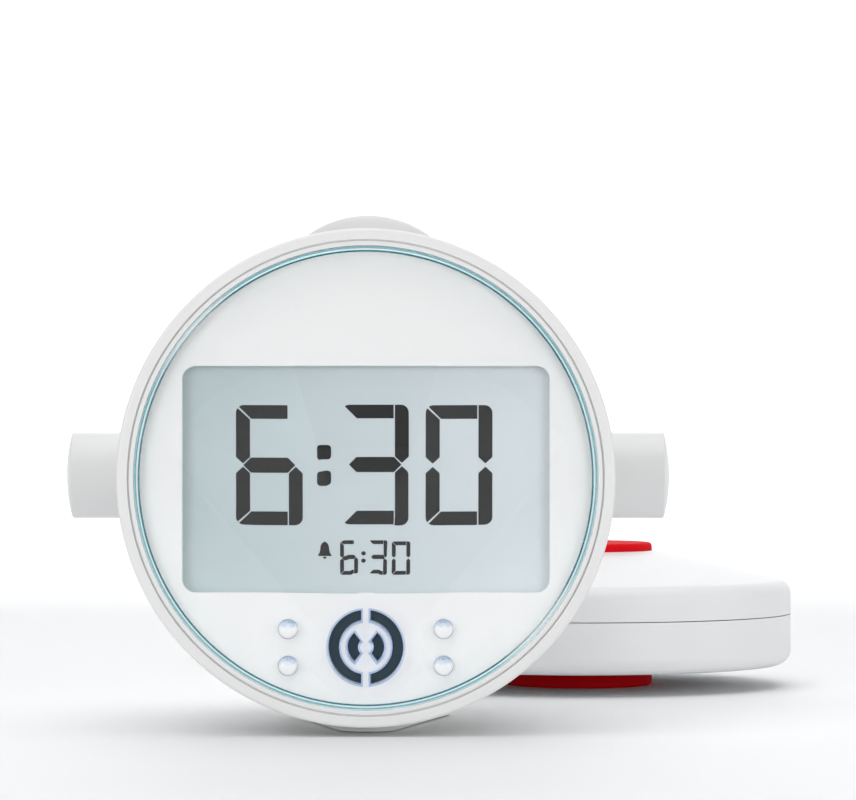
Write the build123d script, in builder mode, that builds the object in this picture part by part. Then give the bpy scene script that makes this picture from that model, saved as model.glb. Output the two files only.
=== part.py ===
from build123d import *
from math import cos, hypot, radians, sin, sqrt, tan
import os

# Bed shaker alarm clock: a round bedside clock on a foot, with its separate vibrating puck behind it.
# Millimetres, +Z up, the dial faces -Y, and the origin is on the table under the middle of the foot's sole.
os.makedirs("parts", exist_ok=True)

# Clearances and walls used all over
shell_fit = 0.2  # one moulding inside another
part_gap = 0.3  # a piece in its pocket
running_fit = 0.05  # a shaft in its bush
seat_fit = 0.02  # a hub on its shaft
rib = 1.6  # inner ribs and tubes

# Display, which sets the size of the round face
window_width = 72.1
window_height = 44.5
window_corner = 2.65
window_drop = 0.3  # below the dial centre
lcd_margin = 0.95  # glass behind the window's edge
lcd_thickness = 2.2
lcd_corner = 1.0
lcd_setback = 1.0  # glass behind the fascia
strip_width = 2.4
strip_depth = 3.1
backlight_thickness = 2.6

# Round face
face_margin = 0.47  # fascia beyond the display's corners
fascia_thickness = 1.4
lens_rim = 1.15  # clear rim of the lens round the fascia
lens_thickness = 3.4
lens_proud = 0.4
lens_rim_round = 1.1
lens_groove = 0.15  # dark line between lens and bezel
slot_bevel = 0.35

# Bezel and barrel
bezel_face = 3.4
shadow_line_inset = 0.87  # lens seat to the groove round it
shadow_line_width = 0.35
shadow_line_depth = 0.6
bezel_length = 10.0  # bezel face to the parting line
bezel_wall = 2.4
bezel_edge_round = 0.7
bezel_lift = 1.8  # bezel above the table
barrel_step = 2.0
barrel_wall = 2.0
body_depth = 88.0  # bezel face to flat back
shoulder_radius = 30.0  # rounds the barrel into its flat back
tongue_length = 3.0

# Chassis, board and screws behind the face
chassis_land = 0.5
chassis_flange = 1.5
board_thickness = 1.6
board_margin = 1.1
boss_angle = 58.0
boss_radius = 3.0
boss_reach = 3.0  # boss past the back of the board
screw_radius = 1.2
screw_head_radius = 2.3
screw_head_height = 1.8
screw_grip = 7.0
well_radius = 2.6
board_screw_radius = 0.9
board_screw_head = 1.7
board_screw_length = 4.0
board_screw_rise = 8.0
chip_size = 10.0
chip_height = 1.4
chip_x = 14.0
crystal_length = 10.0
crystal_width = 3.8
crystal_height = 3.4

# Sounder, its slots and the lamps beside it
sounder_gap = 1.15  # between the display and the sounder
slot_outer = 7.35
slot_inner = 5.25
slot_web = 1.9
heart_outer = 3.6
heart_inner = 1.55
heart_half_angle = 52.0
slot_round = 0.25
mesh_thickness = 0.4
speaker_lip = 1.2  # sounder beyond its slots
speaker_flange = 0.8
speaker_depth = 5.1
speaker_wall = 0.6
speaker_slot = 12.6  # way out of the board for the sounder
magnet_radius = 5.6
magnet_length = 3.4
lamp_spread = 15.25
lamp_pitch = 7.2
lamp_radius = 1.9
lamp_hole_gap = 0.25
lamp_standout = 0.9
lamp_flange_radius = 2.35
lamp_flange = 1.0

# Snooze button on top
snooze_depth = 34.0  # its axis behind the bezel face
snooze_stand = 3.9  # above the bezel's top
snooze_radius = 14.5
snooze_dome = 21.2  # radius of its crown
snooze_drop = 13.7  # crown to the step that keeps it in
snooze_wall = 1.8
snooze_travel = 1.2
snooze_rim = 1.2
snooze_rim_height = 1.5
snooze_edge_round = 0.8
collar_depth = 6.0
stem_radius = 3.0
switch_size = 8.0
switch_height = 3.5
plunger_radius = 1.7
plunger_show = 1.4
plunger_hold = 1.5
lug_radius = 2.6
lug_reach = 2.3
lug_angle = 45.0

# Side knobs and their encoders
knob_depth = 36.0  # their axis behind the bezel face
knob_radius = 8.8
knob_length = 17.45
knob_crown = 1.15
knob_wall = 1.6
knob_edge_round = 0.5
knob_seat_depth = 3.4
knob_seat_gap = 0.5
knob_lift = 0.4
encoder_width = 12.0
encoder_thickness = 6.6
bush_radius = 3.5
bush_length = 6.8
nut_flats = 10.0
nut_thickness = 2.0
shaft_radius = 3.0
shaft_flat = 1.5
hub_radius = 4.8
hub_gap = 0.6

# Battery bay in the back
cell_diameter = 10.5
cell_length = 43.3
cell_nub_radius = 1.9
cell_nub = 0.9
cell_gap = 0.3
contact_room = 1.6
contact_thickness = 0.4
contact_width = 8.4
cell_setback = 10.4  # flat back to the rear cells
bay_drop = 17.0  # below the dial centre
bay_wall = 2.4
door_rebate = 1.4
door_corner = 3.0
door_pull_radius = 5.0
door_pull_depth = 0.8

# Sockets in the back
recess_width = 34.0
recess_height = 13.0
recess_corner = 4.0
recess_depth = 4.0
recess_rise = 9.0  # above the dial centre
socket_spread = 8.5
jack_length = 14.0
jack_width = 9.0
jack_height = 11.0
power_nose_radius = 3.9
power_bore_radius = 2.75
power_bore_depth = 10.0
power_pin_radius = 1.05
shaker_nose_radius = 3.1
shaker_bore_radius = 1.8
shaker_bore_depth = 13.0
post_radius = 2.6
post_gap = 0.4
connector_board_height = 15.0

# Foot under the barrel
foot_nose_radius = 6.0
foot_nose_gap = 1.0  # behind the bezel
foot_heel_radius = 16.5
foot_heel_back = 28.5  # heel's centre to the flat back
foot_taper = 6.0
foot_clear = 0.25  # moulding above the table
sole_inset = 1.0
sole_sink = 0.85

# Bed shaker
shaker_x = 47.2
shaker_gap = 22.7  # clock's back to the puck's rim
puck_radius = 49.3
puck_seam_lift = 0.2
puck_seam_gap = 0.2
puck_wall = 2.2
puck_rim_rise = 7.3
puck_rim_fall = 11.6
puck_rim_round = 3.5
pad_radius = 17.1
pad_stand = 3.0
top_pad_stand = 1.8
pad_sink = 1.0
pad_round = 0.8
puck_lip = 2.0
puck_pillar_radius = 4.2
pillar_setback = 3.1
pillar_angles = (30, 150, 270)
motor_radius = 9.0
motor_room = 1.3  # above and below the motor
motor_length = 26.0
motor_middle = -3.0  # its middle along X from the puck's centre
motor_nose_radius = 3.0
motor_nose = 2.0
motor_shaft_radius = 1.5
motor_shaft_reach = 13.0
weight_radius = 9.0
weight_length = 9.0
weight_gap = 1.0
weight_hub_radius = 3.4
cradle_inset = 3.0
cradle_half_width = 11.0
cradle_drop = 2.5
clamp_width = 8.0
clamp_thickness = 1.0
clamp_lug = 6.0
gland_radius = 4.0
gland_bore = 1.7
gland_stand = 1.2
gland_flange = 1.2
gland_flange_radius = 5.2

# Worked out: radii from the display outwards
lcd_width = window_width + 2 * lcd_margin
lcd_height = window_height + 2 * lcd_margin
speaker_radius = slot_outer + speaker_lip
sounder_drop = window_drop + lcd_height / 2 + sounder_gap + speaker_radius
display_reach = hypot(lcd_width / 2, lcd_height / 2 + window_drop)
sounder_reach = sounder_drop + speaker_radius + part_gap
fascia_radius = max(display_reach, sounder_reach) + face_margin
lens_radius = fascia_radius + lens_rim
seat_radius = lens_radius + lens_groove
bezel_radius = seat_radius + bezel_face
shadow_line_start = seat_radius + shadow_line_inset
shadow_line_end = shadow_line_start + shadow_line_width
bezel_bore = bezel_radius - bezel_wall
ledge_radius = fascia_radius + part_gap
chassis_radius = ledge_radius - part_gap
barrel_radius = bezel_radius - barrel_step
barrel_bore = barrel_radius - barrel_wall
back_radius = barrel_radius - shoulder_radius
boss_ring = barrel_bore - shell_fit - part_gap - boss_radius
axis_height = bezel_radius + bezel_lift

# Worked out: depths behind the bezel face
lens_back = lens_thickness - lens_proud
fascia_back = lens_back + fascia_thickness
ledge_back = fascia_back + chassis_land
lcd_front = fascia_back + lcd_setback
lcd_back = lcd_front + lcd_thickness
board_front = lcd_back + strip_depth
board_back = board_front + board_thickness
boss_end = board_back + boss_reach
shoulder_start = body_depth - shoulder_radius
tongue_start = bezel_length - tongue_length
foot_nose_depth = bezel_length + foot_nose_gap + foot_nose_radius
foot_heel_depth = body_depth - foot_heel_back
foot_end = foot_heel_depth + foot_heel_radius
front_y = -(bezel_length + foot_nose_gap + foot_end) / 2

# Planes and axes of the clock
section = Plane(origin=(0, front_y, axis_height), x_dir=(0, 1, 0), z_dir=(1, 0, 0))
clock_axis = Axis((0, front_y, axis_height), (0, 1, 0))


def dial_plane(depth):
    """Plane square to the clock's axis, looked at from the front."""
    return Plane(origin=(0, front_y + depth, axis_height), x_dir=(1, 0, 0), z_dir=(0, -1, 0))


def display_plane(depth):
    """Plane square to the clock's axis at the display's middle, looked at from the front."""
    return Plane(origin=(0, front_y + depth, axis_height - window_drop), x_dir=(1, 0, 0), z_dir=(0, -1, 0))


def turned(*points):
    """Half section about the clock's axis from (depth, radius) points."""
    with BuildSketch(section) as half:
        with BuildLine():
            Polyline(*points, close=True)
        make_face()
    return half.sketch


def barrel(inset, start):
    """Half section of the barrel with its rounded back, inside its skin by an even inset."""
    with BuildSketch(section) as half:
        with BuildLine():
            Polyline(
                (shoulder_start, barrel_radius - inset),
                (start, barrel_radius - inset),
                (start, 0),
                (body_depth - inset, 0),
                (body_depth - inset, back_radius),
            )
            CenterArc((shoulder_start, back_radius), shoulder_radius - inset, 0, 90)
        make_face()
    return half.sketch


def finish(builder, name):
    """Names a finished piece and writes it."""
    builder.part.label = name
    export_step(builder.part, f"parts/{name}.step")


boss_spots = [
    Location((boss_ring * cos(radians(a)), boss_ring * sin(radians(a)), 0), (0, 0, a))
    for a in (boss_angle, 180 - boss_angle, 180 + boss_angle, 360 - boss_angle)
]
lamp_spots = [(a * lamp_spread, b * lamp_pitch / 2 - sounder_drop) for a in (-1, 1) for b in (-1, 1)]
board_screw_x = (lcd_width / 2 + chassis_radius) / 2
board_screw_spots = [(a * board_screw_x, b * board_screw_rise) for a in (-1, 1) for b in (-1, 1)]

# Sounder slots: a split ring round two arcs
with BuildSketch() as sounder_slots:
    Circle(slot_outer)
    Circle(slot_inner, mode=Mode.SUBTRACT)
    Rectangle(slot_web, 2 * slot_outer, mode=Mode.SUBTRACT)
    fillet(sounder_slots.vertices(), radius=slot_round)
with BuildSketch() as heart_slots:
    Circle(heart_outer)
    Circle(heart_inner, mode=Mode.SUBTRACT)
    wedge = heart_outer / tan(radians(heart_half_angle))
    for end in (-1, 1):
        Polygon((0, 0), (-2 * wedge, 2 * end * heart_outer), (2 * wedge, 2 * end * heart_outer),
                align=None, mode=Mode.SUBTRACT)
    fillet(heart_slots.vertices(), radius=slot_round)


def face_holes(depth, lamp_gap):
    """Sketch of the sounder slots and lamp holes on the face."""
    with BuildSketch(dial_plane(depth)) as holes:
        with Locations((0, -sounder_drop)):
            add(sounder_slots.sketch)
            add(heart_slots.sketch)
        with Locations(*lamp_spots):
            Circle(lamp_radius + lamp_gap)
    return holes.sketch


# Front bezel: white ring with the lens ledge, a shadow line round the lens and four screw bosses
with BuildPart() as front_bezel:
    half_section = turned(
        (0, seat_radius),
        (0, shadow_line_start),
        (shadow_line_depth, shadow_line_start),
        (shadow_line_depth, shadow_line_end),
        (0, shadow_line_end),
        (0, bezel_radius),
        (bezel_length, bezel_radius),
        (bezel_length, bezel_bore),
        (ledge_back, bezel_bore),
        (ledge_back, ledge_radius),
        (lens_back, ledge_radius),
        (lens_back, seat_radius),
    )
    revolve(half_section, axis=clock_axis)
    front_rim = front_bezel.edges().filter_by(GeomType.CIRCLE).group_by(Axis.Y)[0].sort_by(SortBy.RADIUS)[-1]
    fillet(front_rim, radius=bezel_edge_round)
    with BuildSketch(dial_plane(ledge_back)):
        with Locations(*boss_spots):
            Circle(boss_radius)
    extrude(amount=ledge_back - boss_end)
    with BuildSketch(dial_plane(ledge_back)):
        with Locations(*boss_spots):
            Rectangle(bezel_bore + part_gap - boss_ring, boss_radius, align=(Align.MIN, Align.CENTER))
    extrude(amount=ledge_back + part_gap - tongue_start)
    with BuildSketch(dial_plane(boss_end)):
        with Locations(*boss_spots):
            Circle(screw_radius + running_fit)
    extrude(amount=screw_grip, mode=Mode.SUBTRACT)
finish(front_bezel, "front_bezel")

# Front lens: clear acrylic disc, its rim rounded and the slots bevelled
with BuildPart() as front_lens:
    with BuildSketch(dial_plane(-lens_proud)):
        Circle(lens_radius)
    extrude(amount=-lens_thickness)
    lens_edge = front_lens.edges().filter_by(GeomType.CIRCLE).group_by(Axis.Y)[0]
    fillet(lens_edge, radius=lens_rim_round)
    extrude(face_holes(-lens_proud, lamp_hole_gap), amount=-lens_thickness, mode=Mode.SUBTRACT)
    front_face = front_lens.faces().filter_by(Plane.XZ).sort_by(Axis.Y)[0]
    slot_edges = [edge for wire in front_face.inner_wires() for edge in wire.edges()]
    chamfer(slot_edges, length=slot_bevel)
finish(front_lens, "front_lens")

# Fascia: white mask with the display window
with BuildPart() as fascia:
    with BuildSketch(dial_plane(lens_back)):
        Circle(fascia_radius)
    extrude(amount=-fascia_thickness)
    with BuildSketch(display_plane(lens_back)):
        RectangleRounded(window_width, window_height, window_corner)
    extrude(amount=-fascia_thickness, mode=Mode.SUBTRACT)
    extrude(face_holes(lens_back, lamp_hole_gap), amount=-fascia_thickness, mode=Mode.SUBTRACT)
finish(fascia, "fascia")

# Chassis: moulded frame for display, sounder and lamps
speaker_hole = speaker_radius + part_gap
opening_width = window_width + 2 * shell_fit
opening_height = window_height + 2 * shell_fit
with BuildPart() as lcd_chassis:
    with BuildSketch(dial_plane(fascia_back)):
        Circle(chassis_radius)
    extrude(amount=fascia_back - board_front)
    with BuildSketch(dial_plane(ledge_back)):
        Circle(bezel_bore - part_gap)
    extrude(amount=-chassis_flange)
    with BuildSketch(display_plane(fascia_back)):
        RectangleRounded(opening_width, opening_height, window_corner + shell_fit)
    extrude(amount=fascia_back - board_front, mode=Mode.SUBTRACT)
    with BuildSketch(dial_plane(fascia_back)):
        with Locations((0, -sounder_drop)):
            Circle(speaker_hole)
        with Locations(*lamp_spots):
            Circle(lamp_flange_radius + part_gap)
        with Locations(*boss_spots):
            Circle(boss_radius + part_gap)
            Rectangle(bezel_radius - boss_ring, boss_radius + 2 * part_gap, align=(Align.MIN, Align.CENTER))
    extrude(amount=fascia_back - board_front, mode=Mode.SUBTRACT)
    with BuildSketch(display_plane(lcd_front)):
        RectangleRounded(lcd_width + 2 * part_gap, lcd_height + 2 * part_gap, lcd_corner + part_gap)
    extrude(amount=lcd_front - board_front, mode=Mode.SUBTRACT)
    with BuildSketch(dial_plane(board_front)):
        with Locations(*board_screw_spots):
            Circle(board_screw_radius + running_fit)
    extrude(amount=board_screw_length - board_thickness + part_gap, mode=Mode.SUBTRACT)
finish(lcd_chassis, "lcd_chassis")

# Display glass, its light guide and the two rubber contact strips
with BuildPart() as lcd_glass:
    with BuildSketch(display_plane(lcd_front)):
        RectangleRounded(lcd_width, lcd_height, lcd_corner)
    extrude(amount=-lcd_thickness)
finish(lcd_glass, "lcd_glass")

strip_rise = lcd_height / 2 - strip_width / 2 - part_gap
strip_length = lcd_width - 2 * (lcd_corner + part_gap)
with BuildPart() as lcd_connectors:
    with BuildSketch(display_plane(lcd_back)):
        with Locations((0, strip_rise), (0, -strip_rise)):
            Rectangle(strip_length, strip_width)
    extrude(amount=-strip_depth)
finish(lcd_connectors, "lcd_connectors")

with BuildPart() as lcd_backlight:
    with BuildSketch(display_plane(lcd_back)):
        Rectangle(strip_length, 2 * strip_rise - strip_width - 2 * part_gap)
    extrude(amount=-backlight_thickness)
finish(lcd_backlight, "lcd_backlight")

# Main board: round, open at the sounder, notched at the bosses
board_radius = chassis_radius - board_margin
with BuildPart() as main_board:
    with BuildSketch(dial_plane(board_front)):
        Circle(board_radius)
        with Locations((0, -sounder_drop)):
            Circle(speaker_hole, mode=Mode.SUBTRACT)
            Rectangle(speaker_slot, board_radius, align=(Align.CENTER, Align.MAX), mode=Mode.SUBTRACT)
        with Locations(*boss_spots):
            Circle(boss_radius + part_gap, mode=Mode.SUBTRACT)
            Rectangle(boss_ring, boss_radius, align=(Align.MIN, Align.CENTER), mode=Mode.SUBTRACT)
        with Locations(*board_screw_spots):
            Circle(board_screw_radius + running_fit, mode=Mode.SUBTRACT)
    extrude(amount=-board_thickness)
finish(main_board, "main_board")

with BuildPart() as board_parts:
    with BuildSketch(dial_plane(board_back)):
        with Locations((-chip_x, 0)):
            Rectangle(chip_size, chip_size)
    extrude(amount=-chip_height)
    with BuildSketch(dial_plane(board_back)):
        with Locations((chip_x, 0)):
            SlotOverall(crystal_length, crystal_width)
    extrude(amount=-crystal_height)
finish(board_parts, "board_parts")

with BuildPart() as board_screws:
    with BuildSketch(dial_plane(board_back)):
        with Locations(*board_screw_spots):
            Circle(board_screw_head)
    extrude(amount=-board_screw_head / 2)
    with BuildSketch(dial_plane(board_back)):
        with Locations(*board_screw_spots):
            Circle(board_screw_radius)
    extrude(amount=board_screw_length)
finish(board_screws, "board_screws")

# Lamps: four clear domes that stand on the board and look out through the lens
lamp_dome_depth = lamp_radius - lamp_standout
with BuildPart() as flash_leds:
    for spot_x, spot_z in lamp_spots:
        lamp_axis = Axis((spot_x, front_y, axis_height + spot_z), (0, 1, 0))
        with BuildSketch(Plane(origin=lamp_axis.position, x_dir=(0, 1, 0), z_dir=(1, 0, 0))):
            with BuildLine():
                CenterArc((lamp_dome_depth, 0), lamp_radius, 90, 90)
                Polyline(
                    (-lamp_standout, 0),
                    (board_front, 0),
                    (board_front, lamp_flange_radius),
                    (board_front - lamp_flange, lamp_flange_radius),
                    (board_front - lamp_flange, lamp_radius),
                    (lamp_dome_depth, lamp_radius),
                )
            make_face()
        revolve(axis=lamp_axis)
finish(flash_leds, "flash_leds")

# Sounder: cloth, basket, cone and magnet on one axis behind the slots
sounder_axis = Axis((0, front_y, axis_height - sounder_drop), (0, 1, 0))
sounder_section = Plane(origin=sounder_axis.position, x_dir=(0, 1, 0), z_dir=(1, 0, 0))
basket_front = fascia_back + mesh_thickness
basket_back = basket_front + speaker_depth
basket_bore = speaker_radius - 2 * speaker_wall


def sounder_turned(*points):
    """Half section about the sounder's axis from (depth, radius) points."""
    with BuildSketch(sounder_section) as half:
        with BuildLine():
            Polyline(*points, close=True)
        make_face()
    return half.sketch


with BuildPart() as sounder_mesh:
    with BuildSketch(dial_plane(fascia_back)):
        with Locations((0, -sounder_drop)):
            Circle(speaker_radius)
    extrude(amount=-mesh_thickness)
finish(sounder_mesh, "sounder_mesh")

with BuildPart() as speaker_basket:
    half_section = sounder_turned(
        (basket_front, basket_bore),
        (basket_front, speaker_radius),
        (basket_front + speaker_flange, speaker_radius),
        (basket_front + speaker_flange, basket_bore + speaker_wall),
        (basket_back, magnet_radius + speaker_wall),
        (basket_back, 0),
        (basket_back - speaker_wall, 0),
        (basket_back - speaker_wall, magnet_radius),
        (basket_front + speaker_flange, basket_bore),
    )
    revolve(half_section, axis=sounder_axis)
finish(speaker_basket, "speaker_basket")

cone_radius = basket_bore - shell_fit
coil_radius = magnet_radius / 2
cone_back = basket_back - 2 * speaker_wall
with BuildPart() as speaker_cone:
    half_section = sounder_turned(
        (basket_front + shell_fit, cone_radius),
        (basket_front + shell_fit + speaker_wall, cone_radius),
        (cone_back, coil_radius),
        (cone_back - speaker_flange, 0),
        (cone_back - speaker_flange - speaker_wall, 0),
        (cone_back - speaker_wall, coil_radius),
    )
    revolve(half_section, axis=sounder_axis)
finish(speaker_cone, "speaker_cone")

with BuildPart() as speaker_magnet:
    with BuildSketch(dial_plane(basket_back)):
        with Locations((0, -sounder_drop)):
            Circle(magnet_radius)
    extrude(amount=-magnet_length)
finish(speaker_magnet, "speaker_magnet")

# Snooze heights, from its crown down
snooze_y = front_y + snooze_depth
snooze_top = axis_height + bezel_radius + snooze_stand
snooze_step = snooze_top - snooze_drop
snooze_shoulder = snooze_top - snooze_dome + sqrt(snooze_dome**2 - snooze_radius**2)
collar_bottom = snooze_step - collar_depth
collar_bore = snooze_radius + part_gap
collar_room = collar_bore + snooze_rim
collar_radius = collar_room + rib
lug_ring = collar_radius + lug_reach
lug_x = lug_ring * cos(radians(lug_angle))
lug_y = lug_ring * sin(radians(lug_angle))
lug_spots = [Location((a * lug_x, snooze_y + a * lug_y, 0), (0, 0, lug_angle)) for a in (-1, 1)]

# Knob places along X
knob_seat = barrel_radius - knob_seat_depth
encoder_face = knob_seat - barrel_wall
knob_start = knob_seat + knob_lift
knob_end = knob_start + knob_length

# Battery bay and sockets
bay_width = cell_length + cell_nub + 2 * contact_room
bay_height = 2 * cell_diameter + 3 * cell_gap
cell_back = body_depth - cell_setback
bay_floor = cell_back - 2 * cell_diameter - 2 * cell_gap
door_width = bay_width + 2 * door_rebate
door_height = bay_height + 2 * door_rebate
recess_floor = body_depth - recess_depth
jack_front = recess_floor - barrel_wall
jack_back = jack_front - jack_length
post_spread = recess_width / 2 + rib + post_gap + post_radius
tube_start = boss_end + shell_fit
tube_radius = well_radius + rib


def side_plane(side, distance):
    """Plane square to a knob's axis, distance out from the middle, facing outwards."""
    return Plane(
        origin=(side * distance, front_y + knob_depth, axis_height),
        x_dir=(0, 1, 0),
        z_dir=(side, 0, 0),
    )


# Hollow of the barrel, with the bosses, tubes and walls that stand in it left out
with BuildPart() as barrel_hollow:
    revolve(barrel(barrel_wall, tongue_start), axis=clock_axis)
    with BuildSketch(Plane.XY.offset(collar_bottom)):
        with Locations((0, snooze_y)):
            Circle(collar_radius)
        with Locations(*lug_spots):
            Circle(lug_radius)
            Rectangle(2 * lug_reach, lug_radius)
    extrude(amount=snooze_top - collar_bottom, mode=Mode.SUBTRACT)
    for side in (-1, 1):
        with BuildSketch(side_plane(side, encoder_face)):
            Circle(knob_radius + knob_seat_gap + rib)
        extrude(amount=knob_seat_depth + barrel_wall, mode=Mode.SUBTRACT)
    with BuildSketch(dial_plane(tube_start)):
        with Locations(*boss_spots):
            Circle(tube_radius)
    extrude(amount=-body_depth, mode=Mode.SUBTRACT)
    with BuildSketch(dial_plane(bay_floor - rib)):
        with Locations((0, -bay_drop)):
            RectangleRounded(bay_width + 2 * bay_wall, bay_height + 2 * bay_wall, bay_wall)
    extrude(amount=-body_depth, mode=Mode.SUBTRACT)
    with BuildSketch(dial_plane(recess_floor)):
        with Locations((0, recess_rise)):
            RectangleRounded(recess_width + 2 * rib, recess_height + 2 * rib, recess_corner + rib)
    extrude(amount=-body_depth, mode=Mode.SUBTRACT)
    with BuildSketch(dial_plane(jack_back)):
        with Locations((-post_spread, recess_rise), (post_spread, recess_rise)):
            Circle(post_radius)
    extrude(amount=-body_depth, mode=Mode.SUBTRACT)

# Panel of the barrel's skin that the battery door fills
with BuildPart() as door_opening:
    revolve(barrel(0, bay_floor), axis=clock_axis)
    with BuildSketch(dial_plane(body_depth)):
        with Locations((0, -bay_drop)):
            RectangleRounded(door_width, door_height, door_corner)
    extrude(amount=body_depth - bay_floor, mode=Mode.INTERSECT)
    revolve(barrel(barrel_wall, bay_floor - rib), axis=clock_axis, mode=Mode.SUBTRACT)


def foot_plan(height, inset):
    """Sketch of the foot's outline, a narrow nose widening to a round heel."""
    with BuildSketch(Plane.XY.offset(height)) as plan:
        with Locations((0, front_y + foot_nose_depth)):
            Circle(foot_nose_radius - inset)
        with Locations((0, front_y + foot_heel_depth)):
            Circle(foot_heel_radius - inset)
        make_hull()
    return plan.sketch


foot_skin = back_radius + sqrt(shoulder_radius**2 - (foot_end - shoulder_start) ** 2)
foot_height = axis_height - foot_skin + 2 * barrel_wall - foot_clear

# Rear housing: barrel, rounded back, foot, battery bay, snooze collar and socket window in one moulding
with BuildPart() as rear_housing:
    revolve(barrel(0, bezel_length), axis=clock_axis)
    half_section = turned(
        (tongue_start, barrel_bore - shell_fit),
        (tongue_start, bezel_bore - shell_fit),
        (bezel_length + tongue_length, bezel_bore - shell_fit),
        (bezel_length + tongue_length, barrel_bore - shell_fit),
    )
    revolve(half_section, axis=clock_axis)
    extrude(foot_plan(foot_clear, 0), amount=foot_height, taper=-foot_taper)
    add(barrel_hollow.part, mode=Mode.SUBTRACT)
    with BuildSketch(Plane.XY.offset(snooze_step)):
        with Locations((0, snooze_y)):
            Circle(collar_bore)
    extrude(amount=snooze_drop, mode=Mode.SUBTRACT)
    with BuildSketch(Plane.XY.offset(collar_bottom)):
        with Locations((0, snooze_y)):
            Circle(collar_room)
    extrude(amount=collar_depth, mode=Mode.SUBTRACT)
    with BuildSketch(Plane.XY.offset(collar_bottom)):
        with Locations(*lug_spots):
            Circle(board_screw_radius + running_fit)
    extrude(amount=board_screw_length, mode=Mode.SUBTRACT)
    for side in (-1, 1):
        with BuildSketch(side_plane(side, knob_seat)):
            Circle(knob_radius + knob_seat_gap)
        extrude(amount=2 * knob_seat_depth, mode=Mode.SUBTRACT)
        with BuildSketch(side_plane(side, encoder_face)):
            Circle(bush_radius + running_fit)
        extrude(amount=barrel_wall, mode=Mode.SUBTRACT)
    with BuildSketch(dial_plane(tube_start)):
        with Locations(*boss_spots):
            Circle(screw_radius + shell_fit)
    extrude(amount=-barrel_wall, mode=Mode.SUBTRACT)
    with BuildSketch(dial_plane(tube_start + barrel_wall)):
        with Locations(*boss_spots):
            Circle(well_radius)
    extrude(amount=-body_depth, mode=Mode.SUBTRACT)
    add(door_opening.part, mode=Mode.SUBTRACT)
    with BuildSketch(dial_plane(bay_floor)):
        with Locations((0, -bay_drop)):
            Rectangle(bay_width, bay_height)
    extrude(amount=-body_depth, mode=Mode.SUBTRACT)
    with BuildSketch(dial_plane(recess_floor)):
        with Locations((0, recess_rise)):
            RectangleRounded(recess_width, recess_height, recess_corner)
    extrude(amount=-body_depth, mode=Mode.SUBTRACT)
    with BuildSketch(dial_plane(jack_back)):
        with Locations((-post_spread, recess_rise), (post_spread, recess_rise)):
            Circle(board_screw_radius + running_fit)
    extrude(amount=-board_screw_length, mode=Mode.SUBTRACT)
    extrude(foot_plan(foot_clear, sole_inset), amount=sole_sink, mode=Mode.SUBTRACT)
finish(rear_housing, "rear_housing")

# Sole: one rubber pad let into the foot
with BuildPart() as foot_pad:
    extrude(foot_plan(0, sole_inset + shell_fit), amount=foot_clear + sole_sink)
finish(foot_pad, "foot_pad")

# Housing screws: from the wells in the back into the bezel's bosses
head_seat = tube_start + barrel_wall
with BuildPart() as housing_screws:
    with BuildSketch(dial_plane(head_seat)):
        with Locations(*boss_spots):
            Circle(screw_head_radius)
    extrude(amount=-screw_head_height)
    with BuildSketch(dial_plane(head_seat)):
        with Locations(*boss_spots):
            Circle(screw_radius)
    extrude(amount=screw_grip + shell_fit)
finish(housing_screws, "housing_screws")

# Snooze button: domed cap with a stem, kept in by its rim
snooze_axis = Axis((0, snooze_y, 0), (0, 0, 1))
snooze_section = Plane(origin=(0, snooze_y, 0), x_dir=(1, 0, 0), z_dir=(0, -1, 0))
rim_top = snooze_step - part_gap
rim_bottom = rim_top - snooze_rim_height
cap_bore = snooze_radius - snooze_wall
inner_dome = snooze_dome - snooze_wall
dome_centre = snooze_top - snooze_dome
inner_shoulder = dome_centre + sqrt(inner_dome**2 - cap_bore**2)
plunger_top = collar_bottom + switch_height + plunger_show
with BuildPart() as snooze_button:
    with BuildSketch(snooze_section):
        with BuildLine():
            RadiusArc((0, snooze_top), (snooze_radius, snooze_shoulder), snooze_dome)
            Polyline(
                (snooze_radius, snooze_shoulder),
                (snooze_radius, rim_top),
                (snooze_radius + snooze_rim - part_gap, rim_top),
                (snooze_radius + snooze_rim - part_gap, rim_bottom),
                (cap_bore, rim_bottom),
                (cap_bore, inner_shoulder),
            )
            RadiusArc((cap_bore, inner_shoulder), (0, snooze_top - snooze_wall), -inner_dome)
            Line((0, snooze_top - snooze_wall), (0, snooze_top))
        make_face()
    revolve(axis=snooze_axis)
    crown_edge = snooze_button.edges().filter_by(GeomType.CIRCLE).filter_by_position(
        Axis.Z, snooze_shoulder - seat_fit, snooze_shoulder + seat_fit
    )
    fillet(crown_edge, radius=snooze_edge_round)
    with BuildSketch(Plane.XY.offset(plunger_top + running_fit)):
        with Locations((0, snooze_y)):
            Circle(stem_radius)
    extrude(amount=snooze_top - snooze_wall / 2 - plunger_top - running_fit)
finish(snooze_button, "snooze_button")

# Snooze switch on its small board under the collar
with BuildPart() as snooze_switch:
    with BuildSketch(Plane.XY.offset(collar_bottom)):
        with Locations((0, snooze_y)):
            Rectangle(switch_size, switch_size)
    extrude(amount=switch_height)
    with BuildSketch(Plane.XY.offset(collar_bottom + switch_height)):
        with Locations((0, snooze_y)):
            Circle(plunger_radius + running_fit)
    extrude(amount=-(plunger_hold + snooze_travel + part_gap), mode=Mode.SUBTRACT)
finish(snooze_switch, "snooze_switch")

with BuildPart() as snooze_plunger:
    with BuildSketch(Plane.XY.offset(collar_bottom + switch_height - plunger_hold)):
        with Locations((0, snooze_y)):
            Circle(plunger_radius)
    extrude(amount=plunger_hold + plunger_show)
finish(snooze_plunger, "snooze_plunger")

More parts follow.
